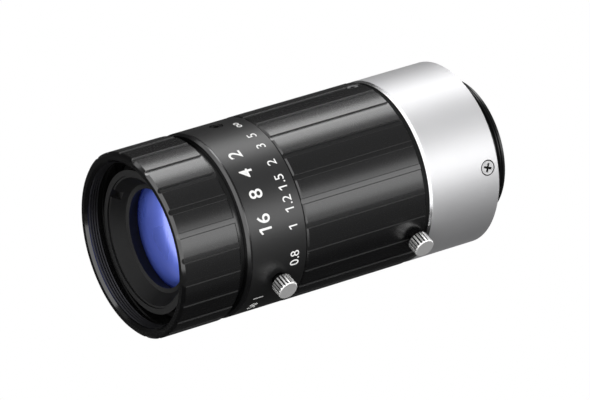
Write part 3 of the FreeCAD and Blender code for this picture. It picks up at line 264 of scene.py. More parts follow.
def vector_length(tree, vector):
    node = add_node(tree, "ShaderNodeVectorMath", operation="LENGTH")
    tree.links.new(vector, node.inputs[0])
    return node.outputs["Value"]


def axis_distance(tree):
    """Distance from the optical axis, in object coordinates."""
    return vector_length(tree, off_axis(tree))


def cloud_noise(tree, scale, detail):
    """Noise on object coordinates."""
    noise = add_node(tree, "ShaderNodeTexNoise")
    noise.inputs["Scale"].default_value = scale
    noise.inputs["Detail"].default_value = detail
    tree.links.new(object_coordinates(tree), noise.inputs["Vector"])
    return noise.outputs["Fac"]


def turning_lines(tree, scale, detail):
    """Fine lines round the optical axis, as a lathe leaves them."""
    noise = add_node(tree, "ShaderNodeTexNoise", noise_dimensions="1D")
    noise.inputs["Scale"].default_value = scale
    noise.inputs["Detail"].default_value = detail
    tree.links.new(axis_place(tree), noise.inputs["W"])
    return noise.outputs["Fac"]


def spread(tree, value, low, high):
    """Map the middle of a noise, where most of it lies, to a range."""
    noise_low, noise_high = 0.3, 0.7
    node = add_node(tree, "ShaderNodeMapRange")
    node.inputs["From Min"].default_value = noise_low
    node.inputs["From Max"].default_value = noise_high
    node.inputs["To Min"].default_value = low
    node.inputs["To Max"].default_value = high
    tree.links.new(value, node.inputs["Value"])
    return node.outputs["Result"]


def varied(tree, value, middle, share):
    """A number that falls and rises by a share of itself with a noise."""
    return spread(tree, value, middle * (1 - share), middle * (1 + share))


def tinted(tree, value, colour, share):
    """A colour that darkens and lightens a little with a noise."""
    mix = add_node(tree, "ShaderNodeMix", data_type="RGBA")
    mix.inputs["A"].default_value = [c * (1 - share) for c in colour] + [1.0]
    mix.inputs["B"].default_value = [min(1.0, c * (1 + share)) for c in colour] + [1.0]
    tree.links.new(value, mix.inputs["Factor"])
    return mix.outputs["Result"]


def rise(tree, value, low, high):
    """A soft step from 0 at one value to 1 at another, which may be the lower one."""
    share = add_node(tree, "ShaderNodeMapRange", interpolation_type="SMOOTHSTEP")
    share.inputs["From Min"].default_value = low
    share.inputs["From Max"].default_value = high
    tree.links.new(value, share.inputs["Value"])
    return share.outputs["Result"]


def product(tree, first, second):
    node = add_node(tree, "ShaderNodeMath", operation="MULTIPLY")
    tree.links.new(first, node.inputs[0])
    tree.links.new(second, node.inputs[1])
    return node.outputs["Value"]


def between(tree, value, low, high, soft):
    """1 between two values, 0 outside them."""
    return product(tree, rise(tree, value, low, low + soft), rise(tree, value, high, high - soft))


def bump(tree, height, strength, distance, normal=None):
    node = add_node(tree, "ShaderNodeBump")
    node.inputs["Strength"].default_value = strength
    node.inputs["Distance"].default_value = distance
    tree.links.new(height, node.inputs["Height"])
    if normal is not None:
        tree.links.new(normal, node.inputs["Normal"])
    return node.outputs["Normal"]


def round_normal(tree, share):
    """The surface's own normal, but straight out from the axis over a share of it."""
    turned = add_node(tree, "ShaderNodeVectorTransform", vector_type="NORMAL",
                      convert_from="OBJECT", convert_to="WORLD")
    tree.links.new(off_axis(tree), turned.inputs["Vector"])
    straight = vector_math(tree, "NORMALIZE", turned.outputs["Vector"])
    mix = add_node(tree, "ShaderNodeMix", data_type="VECTOR")
    own = add_node(tree, "ShaderNodeNewGeometry").outputs["Normal"]
    tree.links.new(own, mix.inputs["A"])
    tree.links.new(straight, mix.inputs["B"])
    tree.links.new(share, mix.inputs["Factor"])
    return mix.outputs["Result"]


def roughen(material, share, roughness):
    """Let a share of a surface have another roughness."""
    tree = material.node_tree
    socket = tree.nodes["Principled BSDF"].inputs["Roughness"]
    mix = add_node(tree, "ShaderNodeMix", data_type="FLOAT")
    tree.links.new(socket.links[0].from_socket, mix.inputs["A"])
    mix.inputs["B"].default_value = roughness
    tree.links.new(share, mix.inputs["Factor"])
    tree.links.new(mix.outputs["Result"], socket)


def paint_shade(material, share, colour=(0.004, 0.004, 0.004)):
    """Paint shade into a share of a surface, such as the bottom of a recess."""
    tree = material.node_tree
    socket = tree.nodes["Principled BSDF"].inputs["Base Color"]
    mix = add_node(tree, "ShaderNodeMix", data_type="RGBA")
    tree.links.new(socket.links[0].from_socket, mix.inputs["A"])
    mix.inputs["B"].default_value = (*colour, 1.0)
    tree.links.new(share, mix.inputs["Factor"])
    tree.links.new(mix.outputs["Result"], socket)


def flat_floors(material):
    """Flutes whose floors shine like the lands between them, with dull lines at their edges."""
    tree = material.node_tree
    land = outer_radius("focus_ring")
    floor_low, floor_high, floor_blend = land - 0.5 * MM, land - 0.01 * MM, 0.02 * MM
    edge_low, edge_high, edge_blend = land - 0.22 * MM, land - 0.04 * MM, 0.04 * MM
    end_face, side_face = 0.4, 0.3
    radius = axis_distance(tree)
    parts = add_node(tree, "ShaderNodeSeparateXYZ")
    own = add_node(tree, "ShaderNodeNewGeometry").outputs["Normal"]
    tree.links.new(own, parts.inputs["Vector"])
    lean = add_node(tree, "ShaderNodeMath", operation="ABSOLUTE")
    tree.links.new(parts.outputs["Y"], lean.inputs[0])
    sideways = rise(tree, lean.outputs["Value"], end_face, side_face)
    flute = product(tree, between(tree, radius, floor_low, floor_high, floor_blend), sideways)
    first = next(node for node in tree.nodes
                 if node.type == "BUMP" and not node.inputs["Normal"].is_linked)
    tree.links.new(round_normal(tree, flute), first.inputs["Normal"])
    edge = between(tree, radius, edge_low, edge_high, edge_blend)
    roughen(material, product(tree, edge, sideways), roughness=0.85)


def turned_finish(name, colour, roughness, line_depth, grain, metallic=0.0, specular=0.5,
                  variation=0.12):
    """A lathe-turned surface with a fine grain over the turning lines."""
    material, shader = new_finish(name)
    tree = material.node_tree
    lines = turning_lines(tree, scale=9000.0, detail=3.0)
    cloud = cloud_noise(tree, scale=160.0, detail=3.0)
    fine = cloud_noise(tree, scale=14000.0, detail=2.0)
    shader.inputs["Metallic"].default_value = metallic
    shader.inputs["Specular IOR Level"].default_value = specular
    tree.links.new(tinted(tree, cloud, colour, variation), shader.inputs["Base Color"])
    tree.links.new(
        varied(tree, fine, roughness, share=variation / 2), shader.inputs["Roughness"])
    normal = bump(tree, lines, line_depth, distance=2e-6)
    grained = bump(tree, fine, grain, distance=2e-6, normal=normal)
    tree.links.new(grained, shader.inputs["Normal"])
    return material


def thumbscrew_finish(name):
    """Bright knurled steel with painted shade in the valleys and on the neck, and a duller end
    face.
    """
    thumb = turned_finish(
        f"bright_{name}", colours().thumbscrew, roughness=0.24, line_depth=0.1, grain=0.1,
        metallic=0.88)
    tree = thumb.node_tree
    low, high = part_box(name)
    head = (high.y - low.y) / 2
    valley_top, valley_floor = head - 0.05 * MM, head - 0.14 * MM
    face = outer_radius(name)
    end_face, side_top = face - 0.2 * MM, face - 0.3 * MM
    outwards = Vector((math.sin(LOCK_TURN), 0.0, math.cos(LOCK_TURN)))
    middle = Vector((0.0, (low.y + high.y) / 2, 0.0))
    place = vector_math(tree, "SUBTRACT", object_coordinates(tree), middle)
    along = vector_math(tree, "PROJECT", place, outwards)
    radius = vector_length(tree, vector_math(tree, "SUBTRACT", place, along))
    # Painted shade on everything closer to the screw's own axis than the knurl's crests, such as
    # the valleys and the neck, but not on the end face.
    valley_shade = rise(tree, radius, valley_top, valley_floor)
    side = rise(tree, axis_distance(tree), end_face, side_top)
    paint_shade(thumb, product(tree, valley_shade, side), colour=(0.02, 0.02, 0.02))
    roughen(thumb, rise(tree, axis_distance(tree), side_top, end_face), roughness=0.5)
    return thumb


def matt_finish(name, colour, roughness, grain, specular=0.5):
    """A blasted and dyed surface."""
    material, shader = new_finish(name)
    tree = material.node_tree
    shader.inputs["Specular IOR Level"].default_value = specular
    cloud = cloud_noise(tree, scale=420.0, detail=4.0)
    fine = cloud_noise(tree, scale=9000.0, detail=3.0)
    tree.links.new(tinted(tree, cloud, colour, share=0.2), shader.inputs["Base Color"])
    tree.links.new(varied(tree, cloud, roughness, share=0.08), shader.inputs["Roughness"])
    tree.links.new(bump(tree, fine, grain, distance=4e-6), shader.inputs["Normal"])
    return material


def coated_glass(name, colour, painted_rim_colour, metallic, roughness, clear):
    """Glass whose coating's coloured reflection is partly real, as a tinted reflection, and
    partly painted into its colour as a painted reflection, darker towards the rim.
    """
    rim_start, rim_end = 9.15 * MM, 9.5 * MM
    material, shader = new_finish(name)
    tree = material.node_tree
    # The painted reflection turns from the colour to the darker rim colour between these radii.
    share = rise(tree, axis_distance(tree), rim_start, rim_end)
    mix = add_node(tree, "ShaderNodeMix", data_type="RGBA")
    mix.inputs["A"].default_value = (*colour, 1.0)
    mix.inputs["B"].default_value = (*painted_rim_colour, 1.0)
    tree.links.new(share, mix.inputs["Factor"])
    tree.links.new(mix.outputs["Result"], shader.inputs["Base Color"])
    cloud = cloud_noise(tree, scale=120.0, detail=2.0)
    tree.links.new(varied(tree, cloud, roughness, share=0.2), shader.inputs["Roughness"])
    shader.inputs["Metallic"].default_value = metallic
    shader.inputs["Transmission Weight"].default_value = clear
    shader.inputs["IOR"].default_value = 1.52
    shader.inputs["Coat Weight"].default_value = 1.0
    shader.inputs["Coat Roughness"].default_value = 0.12
    return material


def ink_finish(colour):
    """Silk-screened ink, a little uneven."""
    material, shader = new_finish("white_ink")
    tree = material.node_tree
    cloud = cloud_noise(tree, scale=900.0, detail=3.0)
    fine = cloud_noise(tree, scale=12000.0, detail=2.0)
    tree.links.new(tinted(tree, cloud, colour, share=0.06), shader.inputs["Base Color"])
    tree.links.new(spread(tree, cloud, low=0.42, high=0.55), shader.inputs["Roughness"])
    tree.links.new(bump(tree, fine, strength=0.15, distance=3e-6), shader.inputs["Normal"])
    return material


# Node trees that shape meshes

class NodeTree:
    """A geometry node tree with named inputs and one mesh result."""

    def __init__(self, name, inputs):
        self.tree = bpy.data.node_groups.new(name, "GeometryNodeTree")
        self.identifiers = {}
        for label, kind in inputs:
            socket = self.tree.interface.new_socket(
                name=label, in_out="INPUT", socket_type=kind)
            self.identifiers[label] = socket.identifier
        self.tree.interface.new_socket(
            name="Geometry", in_out="OUTPUT", socket_type="NodeSocketGeometry")
        self.start = self.tree.nodes.new("NodeGroupInput")
        self.end = self.tree.nodes.new("NodeGroupOutput")

    def value(self, label):
        return self.start.outputs[label]

    def node(self, kind, links=None, **settings):
        """A node with its settings, whose inputs are linked or set by name or number."""
        node = self.tree.nodes.new(kind)
        for key, value in settings.items():
            setattr(node, key, value)
        for socket, value in (links or {}).items():
            if isinstance(value, bpy.types.NodeSocket):
                self.tree.links.new(value, node.inputs[socket])
            else:
                node.inputs[socket].default_value = value
        return node

    def sum(self, operation, first, second):
        node = self.node("ShaderNodeMath", {0: first, 1: second}, operation=operation)
        return node.outputs["Value"]

    def finish(self, geometry):
        self.tree.links.new(geometry, self.end.inputs["Geometry"])

    def modify(self, piece, values):
        """Put the tree on a piece, with its inputs set before anything is evaluated."""
        modifier = piece.modifiers.new(self.tree.name, "NODES")
        modifier.node_group = self.tree
        for label, value in values.items():
            modifier[self.identifiers[label]] = value
        return modifier


def thread_tree():
    """A screw thread round the Y axis, with ends that run out."""
    tree = NodeTree("screw_thread", (
        ("Radius", "NodeSocketFloat"), ("Start", "NodeSocketFloat"),
        ("Length", "NodeSocketFloat"), ("Pitch", "NodeSocketFloat"),
        ("Height", "NodeSocketFloat"), ("Steps", "NodeSocketInt"),
        ("Material", "NodeSocketMaterial")))
    foot_share, crest_share, sunk_share = 0.46, 0.07, 0.15
    run_outs_in_a_turn, thinnest = 3.0, 0.02
    turns = tree.sum("DIVIDE", tree.value("Length"), tree.value("Pitch"))
    spiral = tree.node("GeometryNodeCurveSpiral", {
        "Resolution": tree.value("Steps"), "Rotations": turns,
        "Start Radius": tree.value("Radius"), "End Radius": tree.value("Radius"),
        "Height": tree.value("Length")})
    upright = tree.node(
        "GeometryNodeSetCurveNormal", {"Curve": spiral.outputs["Curve"]}, mode="Z_UP")
    along = tree.node("GeometryNodeSplineParameter").outputs["Factor"]
    to_end = tree.sum("SUBTRACT", 1.0, along)
    nearest = tree.sum("MINIMUM", along, to_end)
    run_out = tree.sum(
        "MULTIPLY", nearest, tree.sum("MULTIPLY", turns, run_outs_in_a_turn))
    size = tree.sum("MINIMUM", run_out, 1.0)
    thinned = tree.node("GeometryNodeSetCurveRadius", {
        "Curve": upright.outputs["Curve"], "Radius": tree.sum("MAXIMUM", size, thinnest)})
    foot = tree.sum("MULTIPLY", tree.value("Pitch"), foot_share)
    crest = tree.sum("MULTIPLY", tree.value("Pitch"), crest_share)
    # The spiral's normal points at the axis, so outwards is negative here.
    tip = tree.sum("MULTIPLY", tree.value("Height"), -1.0)
    sunk = tree.sum("MULTIPLY", tree.value("Height"), sunk_share)
    corners = {}
    for number, (height, side) in enumerate(
            ((sunk, foot), (tip, crest), (tip, tree.sum("MULTIPLY", crest, -1.0)),
             (sunk, tree.sum("MULTIPLY", foot, -1.0))), start=1):
        corner = tree.node("ShaderNodeCombineXYZ", {"X": height, "Y": side})
        corners[f"Point {number}"] = corner.outputs["Vector"]
    profile = tree.node("GeometryNodeCurvePrimitiveQuadrilateral", corners, mode="POINTS")
    ridge = tree.node("GeometryNodeCurveToMesh", {
        "Curve": thinned.outputs["Curve"], "Profile Curve": profile.outputs["Curve"],
        "Fill Caps": True})
    offset = tree.node("ShaderNodeCombineXYZ", {"Y": tree.value("Start")})
    placed = tree.node("GeometryNodeTransform", {
        "Geometry": ridge.outputs["Mesh"], "Translation": offset.outputs["Vector"],
        "Rotation": (-math.pi / 2, 0.0, 0.0)})
    real = tree.node("GeometryNodeRealizeInstances", {"Geometry": placed.outputs["Geometry"]})
    dressed = tree.node("GeometryNodeSetMaterial", {
        "Geometry": real.outputs["Geometry"], "Material": tree.value("Material")})
    tree.finish(dressed.outputs["Geometry"])
    return tree


def shading_tree():
    """Smooth shading on round faces, with crisp edges where a piece turns a corner."""
    tree = NodeTree("crisp_edges", (
        ("Geometry", "NodeSocketGeometry"), ("Edge angle", "NodeSocketFloat")))
    plain = tree.node("GeometryNodeRemoveAttribute", {
        "Geometry": tree.value("Geometry"), "Name": "custom_normal"})
    joined = tree.node("GeometryNodeMergeByDistance", {
        "Geometry": plain.outputs["Geometry"], "Distance": SOLID_WELD})
    smooth = tree.node("GeometryNodeSetShadeSmooth", {
        "Geometry": joined.outputs["Geometry"], "Shade Smooth": True}, domain="FACE")
    angle = tree.node("GeometryNodeInputMeshEdgeAngle").outputs["Unsigned Angle"]
    sharp = tree.node(
        "FunctionNodeCompare", {0: angle, 1: tree.value("Edge angle")},
        data_type="FLOAT", operation="GREATER_THAN")
    crisp = tree.node("GeometryNodeSetShadeSmooth", {
        "Geometry": smooth.outputs["Geometry"], "Selection": sharp.outputs["Result"],
        "Shade Smooth": False}, domain="EDGE")
    tree.finish(crisp.outputs["Geometry"])
    return tree


def grown(name, tree, values):
    """The plain mesh piece that a tree makes from its inputs alone."""
    piece = bpy.data.objects.new(name, bpy.data.meshes.new(name))
    bpy.context.scene.collection.objects.link(piece)
    modifier = tree.modify(piece, values)
    evaluated = piece.evaluated_get(bpy.context.evaluated_depsgraph_get())
    mesh = bpy.data.meshes.new_from_object(evaluated)
    piece.modifiers.remove(modifier)
    piece.data = mesh
    tidy_mesh(mesh)
    return piece


# Meshes

def tidy_mesh(mesh):
    """Weld doubles and turn all faces outwards."""
    work = bmesh.new()
    work.from_mesh(mesh)
    bmesh.ops.remove_doubles(work, verts=work.verts, dist=WELD)
    bmesh.ops.recalc_face_normals(work, faces=work.faces)
    work.to_mesh(mesh)
    work.free()


def new_piece(name, mesh, material):
    """A piece of this scene's own, at the origin, with one material."""
    mesh.materials.clear()
    mesh.materials.append(material)
    piece = bpy.data.objects.new(name, mesh)
    bpy.context.scene.collection.objects.link(piece)
    return piece


def lathe(name, profile, material, steps):
    """A closed ring turned about the Y axis from a closed profile of (radius, y)."""
    work = bmesh.new()
    rows = []
    for step in range(steps):
        angle = math.tau * step / steps
        rows.append([
            work.verts.new((radius * math.sin(angle), y, radius * math.cos(angle)))
            for radius, y in profile])
    count = len(profile)
    for step in range(steps):
        here, there = rows[step], rows[(step + 1) % steps]
        for index in range(count):
            following = (index + 1) % count
            work.faces.new((here[index], here[following], there[following], there[index]))
    bmesh.ops.recalc_face_normals(work, faces=work.faces)
    mesh = bpy.data.meshes.new(name)
    work.to_mesh(mesh)
    work.free()
    return new_piece(name, mesh, material)


def crisp(piece):
    """Smooth shading with crisp corners on a piece of this scene's own."""
    piece.data.shade_smooth()
    piece.data.set_sharp_from_angle(angle=sizes().shading_angle)


def paint(nodes, material):
    """Give CAD nodes one finish."""
    for name in nodes:
        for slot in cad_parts[name].material_slots:
            slot.material = material


def wrapped_text(text, height, turn, station, radius, thickness, weight):
    """The mesh of a number that lies on a cylinder about the Y axis.

    The number's top points to the front, and it is read with the front away from the reader.
    """
    curve = bpy.data.curves.new(text, "FONT")
    curve.body = text
    curve.align_x = "CENTER"
    curve.size = height / DIGIT_SHARE
    curve.offset = weight * height
    curve.extrude = thickness / 2
    holder = bpy.data.objects.new(text, curve)
    bpy.context.scene.collection.objects.link(holder)
    evaluated = holder.evaluated_get(bpy.context.evaluated_depsgraph_get())
    mesh = bpy.data.meshes.new_from_object(evaluated)
    bpy.data.objects.remove(holder)
    bpy.data.curves.remove(curve)
    low = min(vertex.co.y for vertex in mesh.vertices)
    high = max(vertex.co.y for vertex in mesh.vertices)
    work = bmesh.new()
    work.from_mesh(mesh)
    bmesh.ops.remove_doubles(work, verts=work.verts, dist=WELD)
    flag_ones(work, height)
    wrap(work, turn, station, radius, thickness, (low + high) / 2)
    bpy.data.meshes.remove(mesh)
    return work


def loose_parts(work):
    """The corners of each part of a mesh that hangs together."""
    unseen = set(work.verts)
    parts = []
    while unseen:
        part, waiting = set(), [unseen.pop()]
        while waiting:
            vertex = waiting.pop()
            part.add(vertex)
            for edge in vertex.link_edges:
                other = edge.other_vert(vertex)
                if other in unseen:
                    unseen.remove(other)
                    waiting.append(other)
        parts.append(part)
    return parts


def flag_ones(work, height):
    """Give each figure one, a bare bar in this lettering, a slanted stroke at its top."""
    bar_width, bar_height = 0.35 * height, 0.9 * height
    stroke = ((0.02, 0.0), (-0.26, -0.17), (-0.26, -0.33), (0.02, -0.17))
    for part in loose_parts(work):
        left, right = (end(vertex.co.x for vertex in part) for end in (min, max))
        bottom, top = (end(vertex.co.y for vertex in part) for end in (min, max))
        if right - left >= bar_width or top - bottom <= bar_height:
            continue
        depth = max(vertex.co.z for vertex in part)
        rows = [[work.verts.new((left + x * height, top + y * height, z)) for x, y in stroke]
                for z in (depth, -depth)]
        work.faces.new(rows[0])
        work.faces.new(rows[1][::-1])
        for index in range(4):
            following = (index + 1) % 4
            work.faces.new((rows[0][index], rows[1][index],
                            rows[1][following], rows[0][following]))


def wrap(work, turn, station, radius, thickness, middle):
    """Cut a flat mark into narrow strips and bend it onto the cylinder."""
    strip = 0.4 * MM
    half_width = max(abs(vertex.co.x) for vertex in work.verts)
    count = int(half_width / strip)
    for number in range(-count, count + 1):
        bmesh.ops.bisect_plane(
            work, geom=work.verts[:] + work.edges[:] + work.faces[:],
            plane_co=(number * strip, 0, 0), plane_no=(1, 0, 0))
    for vertex in work.verts:
        angle = math.radians(turn) - vertex.co.x / radius
        out = radius + thickness / 2 + vertex.co.z
        along = station - (vertex.co.y - middle)
        vertex.co = (out * math.sin(angle), along, out * math.cos(angle))


def mark_line(width, length, turn, station, radius, thickness):
    """A printed line along the axis."""
    work = bmesh.new()
    bmesh.ops.create_cube(work, size=1.0, matrix=Matrix.Diagonal((width, length, thickness, 1.0)))
    wrap(work, turn, station, radius, thickness, middle=0.0)
    return work


def joined(name, parts, material):
    """One piece from several meshes that are still being worked on."""
    mesh = bpy.data.meshes.new(name)
    whole = bmesh.new()
    for part in parts:
        part.to_mesh(mesh)
        part.free()
        whole.from_mesh(mesh)
    bmesh.ops.recalc_face_normals(whole, faces=whole.faces)
    whole.to_mesh(mesh)
    whole.free()
    return new_piece(name, mesh, material)


def number_row(row, height, station, weight):
    """The printed numbers of one row of the scale band, with strokes made bolder by a weight."""
    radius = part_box("scale_band")[1].z
    thickness = sizes().ink_thickness
    return [
        wrapped_text(text, height, turn, station, radius, thickness, weight)
        for text, turn in row]


# Steps that dress the lens

class LENS_OT_black_rings(bpy.types.Operator):
    """Finish the grip rings, the scale band and the front barrel."""

    bl_idname = "lens.black_rings"
    bl_label = "Black rings"

    def execute(self, context):
        black = colours().black
        lip_start, lip_end = FRONT_FACE + 0.62 * MM, FRONT_FACE + 0.5 * MM
        paint(("front_barrel",), turned_finish(
            "black_barrel", black, roughness=0.24, line_depth=0.15, grain=0.02, specular=0.75))
        grip = turned_finish(
            "black_grip", black, roughness=0.26, line_depth=0.15, grain=0.02, specular=0.75)
        paint(GRIP_NODES, grip)
        flat_floors(grip)
        tree = grip.node_tree
        roughen(grip, rise(tree, axis_place(tree), lip_start, lip_end), roughness=0.12)
        paint(("scale_band",), turned_finish(
            "black_band", black, roughness=0.42, line_depth=0.1, grain=0.2, specular=0.75))
        return {"FINISHED"}


class LENS_OT_bright_barrel(bpy.types.Operator):
    """Finish the bright barrel at the rear."""

    bl_idname = "lens.bright_barrel"
    bl_label = "Bright barrel"

    def execute(self, context):
        bright = turned_finish(
            "bright_barrel", colours().bright, roughness=0.57, line_depth=0.12, grain=0.08,
            metallic=1.0, variation=0.03)
        paint(("mount_barrel",), bright)
        tree = bright.node_tree
        skin = outer_radius("mount_barrel")
        low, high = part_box("mount_screw_1")
        shallow, deep = skin - 0.05 * MM, skin - 0.12 * MM
        far, near = 0.5 * MM, 0.4 * MM
        # Painted shade on the faces that lie below the barrel's skin beside the barrel screws,
        # such as the gaps round their heads.
        recess = rise(tree, axis_distance(tree), shallow, deep)
        behind = rise(tree, axis_place(tree), low.y - far, low.y - near)
        before = rise(tree, axis_place(tree), high.y + far, high.y + near)
        paint_shade(bright, product(tree, recess, product(tree, behind, before)))
        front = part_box("mount_barrel")[0].y
        bevel = rise(tree, axis_place(tree), front + far, front + near)
        roughen(bright, bevel, roughness=0.22)
        return {"FINISHED"}


class LENS_OT_screws(bpy.types.Operator):
    """Finish the lock screws, the plug screws and the barrel screws."""

    bl_idname = "lens.screws"
    bl_label = "Screws"

    def execute(self, context):
        for name in THUMBSCREW_NODES:
            paint((name,), thumbscrew_finish(name))
        screw = turned_finish(
            "bright_screw", colours().bright, roughness=0.3, line_depth=0.1, grain=0.1,
            metallic=0.8)
        paint(MOUNT_SCREW_NODES + BRIGHT_PLUG_NODES, screw)
        tree = screw.node_tree
        # Painted shade in the cross recesses of the screw heads, below the top of the barrel
        # screws' heads.
        head = outer_radius("mount_screw_1")
        cross_top, cross_floor = head - 0.12 * MM, head - 0.2 * MM
        paint_shade(screw, rise(tree, axis_distance(tree), cross_top, cross_floor))
        paint(DARK_PLUG_NODES, turned_finish(
            "black_screw", colours().black, roughness=0.3, line_depth=0.1, grain=0.1,
            metallic=0.3))
        return {"FINISHED"}


class LENS_OT_inner_pieces(bpy.types.Operator):
    """Finish the cells, spacers, retaining rings, pins and iris blades."""

    bl_idname = "lens.inner_pieces"
    bl_label = "Inner pieces"

    def execute(self, context):
        dull = colours().inner_black
        paint(INNER_NODES, matt_finish(
            "black_inner", dull, roughness=0.5, grain=0.3, specular=0.15))
        paint(BLADE_NODES, matt_finish("blade", dull, roughness=0.45, grain=0.15))
        paint(PIN_NODES, turned_finish(
            "steel_pin", colours().steel, roughness=0.25, line_depth=0.2, grain=0.05,
            metallic=1.0))
        return {"FINISHED"}


class LENS_OT_glass(bpy.types.Operator):
    """Finish the glass and its coatings."""

    bl_idname = "lens.glass"
    bl_label = "Glass"

    def execute(self, context):
        coating = tuple(colours().coating)
        # Colours of the painted coating reflections on the glass, each with a darker painted rim.
        rim = tuple(value * share for value, share in zip(coating, (0.2, 0.25, 0.5)))
        inner, inner_rim = (0.35, 0.45, 0.8), (0.3, 0.25, 0.6)
        paint(("front_element",), coated_glass(
            "coated_glass", coating, rim, metallic=0.35, roughness=0.3, clear=0.0))
        paint(INNER_GLASS_NODES, coated_glass(
            "inner_glass", inner, inner_rim, metallic=0.12, roughness=0.03, clear=1.0))
        return {"FINISHED"}


class LENS_OT_soft_edges(bpy.types.Operator):
    """Shade the round faces of the solids smoothly and keep their corners crisp."""

    bl_idname = "lens.soft_edges"
    bl_label = "Edges"

    def execute(self, context):
        tree = shading_tree()
        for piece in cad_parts.values():
            tree.modify(piece, {"Edge angle": sizes().shading_angle})
        return {"FINISHED"}


class LENS_OT_filter_thread(bpy.types.Operator):
    """Make the filter thread inside the mouth of the front ring."""

    bl_idname = "lens.filter_thread"
    bl_label = "Filter thread"

    def execute(self, context):
        thread = grown("filter_thread", thread_tree(), {
            "Radius": sizes().filter_radius,
            "Start": FRONT_FACE + sizes().filter_start,
            "Length": sizes().filter_length,
            "Pitch": sizes().filter_pitch,
            "Height": -sizes().filter_depth,
            "Steps": sizes().thread_steps,
            "Material": bpy.data.materials["black_grip"]})
        crisp(thread)
        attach(thread, "iris_body")
        return {"FINISHED"}


class LENS_OT_mount_thread(bpy.types.Operator):
    """Make the mount ring with its one inch thread."""

    bl_idname = "lens.mount_thread"
    bl_label = "Mount thread"

    def execute(self, context):
        low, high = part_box("c_mount_ring")
        seat, end = high.x, high.y
        bore, chamfer = 11.3 * MM, 0.15 * MM
        crest = sizes().mount_radius
        root = crest - sizes().mount_depth
        thread_start = 0.75 * MM
        land_start = end - 0.55 * MM
        slope_start = end - 0.85 * MM
        black = turned_finish(
            "black_mount", colours().black, roughness=0.3, line_depth=0.2, grain=0.08)
        ring = lathe("mount_ring", (
            (bore, low.y), (seat, low.y), (seat, 0.0), (root, 0.0), (root, slope_start),
            (crest, land_start), (crest, end - chamfer), (crest - chamfer, end), (bore, end)),
            black, sizes().round_steps)
        crisp(ring)
        thread = grown("mount_thread", thread_tree(), {
            "Radius": root,
            "Start": thread_start,
            "Length": land_start - thread_start,
            "Pitch": sizes().mount_pitch,
            "Height": sizes().mount_depth,
            "Steps": sizes().thread_steps,
            "Material": black})
        crisp(thread)
        for piece in (ring, thread):
            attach(piece, "mount_base")
        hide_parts("c_mount_ring")
        return {"FINISHED"}


class LENS_OT_scale_marks(bpy.types.Operator):
    """Print the rows of numbers and the index line on the scale band."""

    bl_idname = "lens.scale_marks"
    bl_label = "Scale marks"

    def execute(self, context):
        size = sizes()
        marks = number_row(APERTURE_ROW, size.aperture_height, APERTURE_PLACE, weight=0.012)
        marks += number_row(DISTANCE_ROW, size.distance_height, DISTANCE_PLACE, weight=0.0)
        marks.append(mark_line(
            size.index_width, size.index_length, INDEX_ANGLE, INDEX_PLACE,
            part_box("scale_band")[1].z, size.ink_thickness))
        marks += number_row(FOCAL_ROW, size.focal_height, INDEX_PLACE, weight=-0.02)
        piece = joined("scale_marks", marks, ink_finish(colours().ink))
        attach(piece, "front_unit")
        return {"FINISHED"}


# Studio

def plain_light(name, colour, strength):
    """A stage surface that only shines."""
    material = bpy.data.materials.new(name)
    material.use_nodes = True
    tree = material.node_tree
    tree.nodes.clear()
    shine = add_node(tree, "ShaderNodeEmission")
    shine.inputs["Color"].default_value = (*colour, 1.0)
    shine.inputs["Strength"].default_value = strength
    out = add_node(tree, "ShaderNodeOutputMaterial")
    tree.links.new(shine.outputs["Emission"], out.inputs["Surface"])
    return material


def seen_directly(tree):
    """1 for camera, glossy and transmission rays, and 0 for the rays that light things."""
    path = add_node(tree, "ShaderNodeLightPath")
    seen = path.outputs["Is Camera Ray"]
    for ray in ("Is Glossy Ray", "Is Transmission Ray"):
        either = add_node(tree, "ShaderNodeMath", operation="MAXIMUM")
        tree.links.new(seen, either.inputs[0])
        tree.links.new(path.outputs[ray], either.inputs[1])
        seen = either.outputs["Value"]
    return seen


def white_world(fill):
    """White where it is seen, with a dimmer fill for the light that falls on things."""
    world = bpy.data.worlds.new("studio")
    world.use_nodes = True
    tree = world.node_tree
    background = tree.nodes["Background"]
    background.inputs["Color"].default_value = (1.0, 1.0, 1.0, 1.0)
    strength = add_node(tree, "ShaderNodeMapRange")
    strength.inputs["To Min"].default_value = fill
    strength.inputs["To Max"].default_value = 1.0
    tree.links.new(seen_directly(tree), strength.inputs["Value"])
    tree.links.new(strength.outputs["Result"], background.inputs["Strength"])
    bpy.context.scene.world = world


def add_floor():
    """A pale floor well below the lens, white where it is seen."""
    mesh = bpy.data.meshes.new("floor")
    half, height = 4.0, -0.3
    pale = (0.5, 0.5, 0.5, 1.0)
    corners = [(-half, -half), (half, -half), (half, half), (-half, half)]
    mesh.from_pydata([(x, y, height) for x, y in corners], [], [(0, 1, 2, 3)])
    material, shader = new_finish("pale_floor")
    tree = material.node_tree
    shader.inputs["Base Color"].default_value = pale
    shader.inputs["Roughness"].default_value = 0.9
    shine = add_node(tree, "ShaderNodeEmission")
    shine.inputs["Color"].default_value = (1.0, 1.0, 1.0, 1.0)
    mix = add_node(tree, "ShaderNodeMixShader")
    tree.links.new(seen_directly(tree), mix.inputs["Fac"])
    tree.links.new(shader.outputs["BSDF"], mix.inputs[1])
    tree.links.new(shine.outputs["Emission"], mix.inputs[2])
    out = tree.nodes["Material Output"]
    tree.links.new(mix.outputs["Shader"], out.inputs["Surface"])
    floor = new_piece("floor", mesh, material)


def around(angle, distance, y):
    """A point at an angle from the top towards +X, and the turn that faces the axis."""
    turn = math.radians(angle)
    point = Vector((distance * math.sin(turn), y, distance * math.cos(turn)))
    return Matrix.Translation(point) @ Matrix.Rotation(turn, 4, "Y")


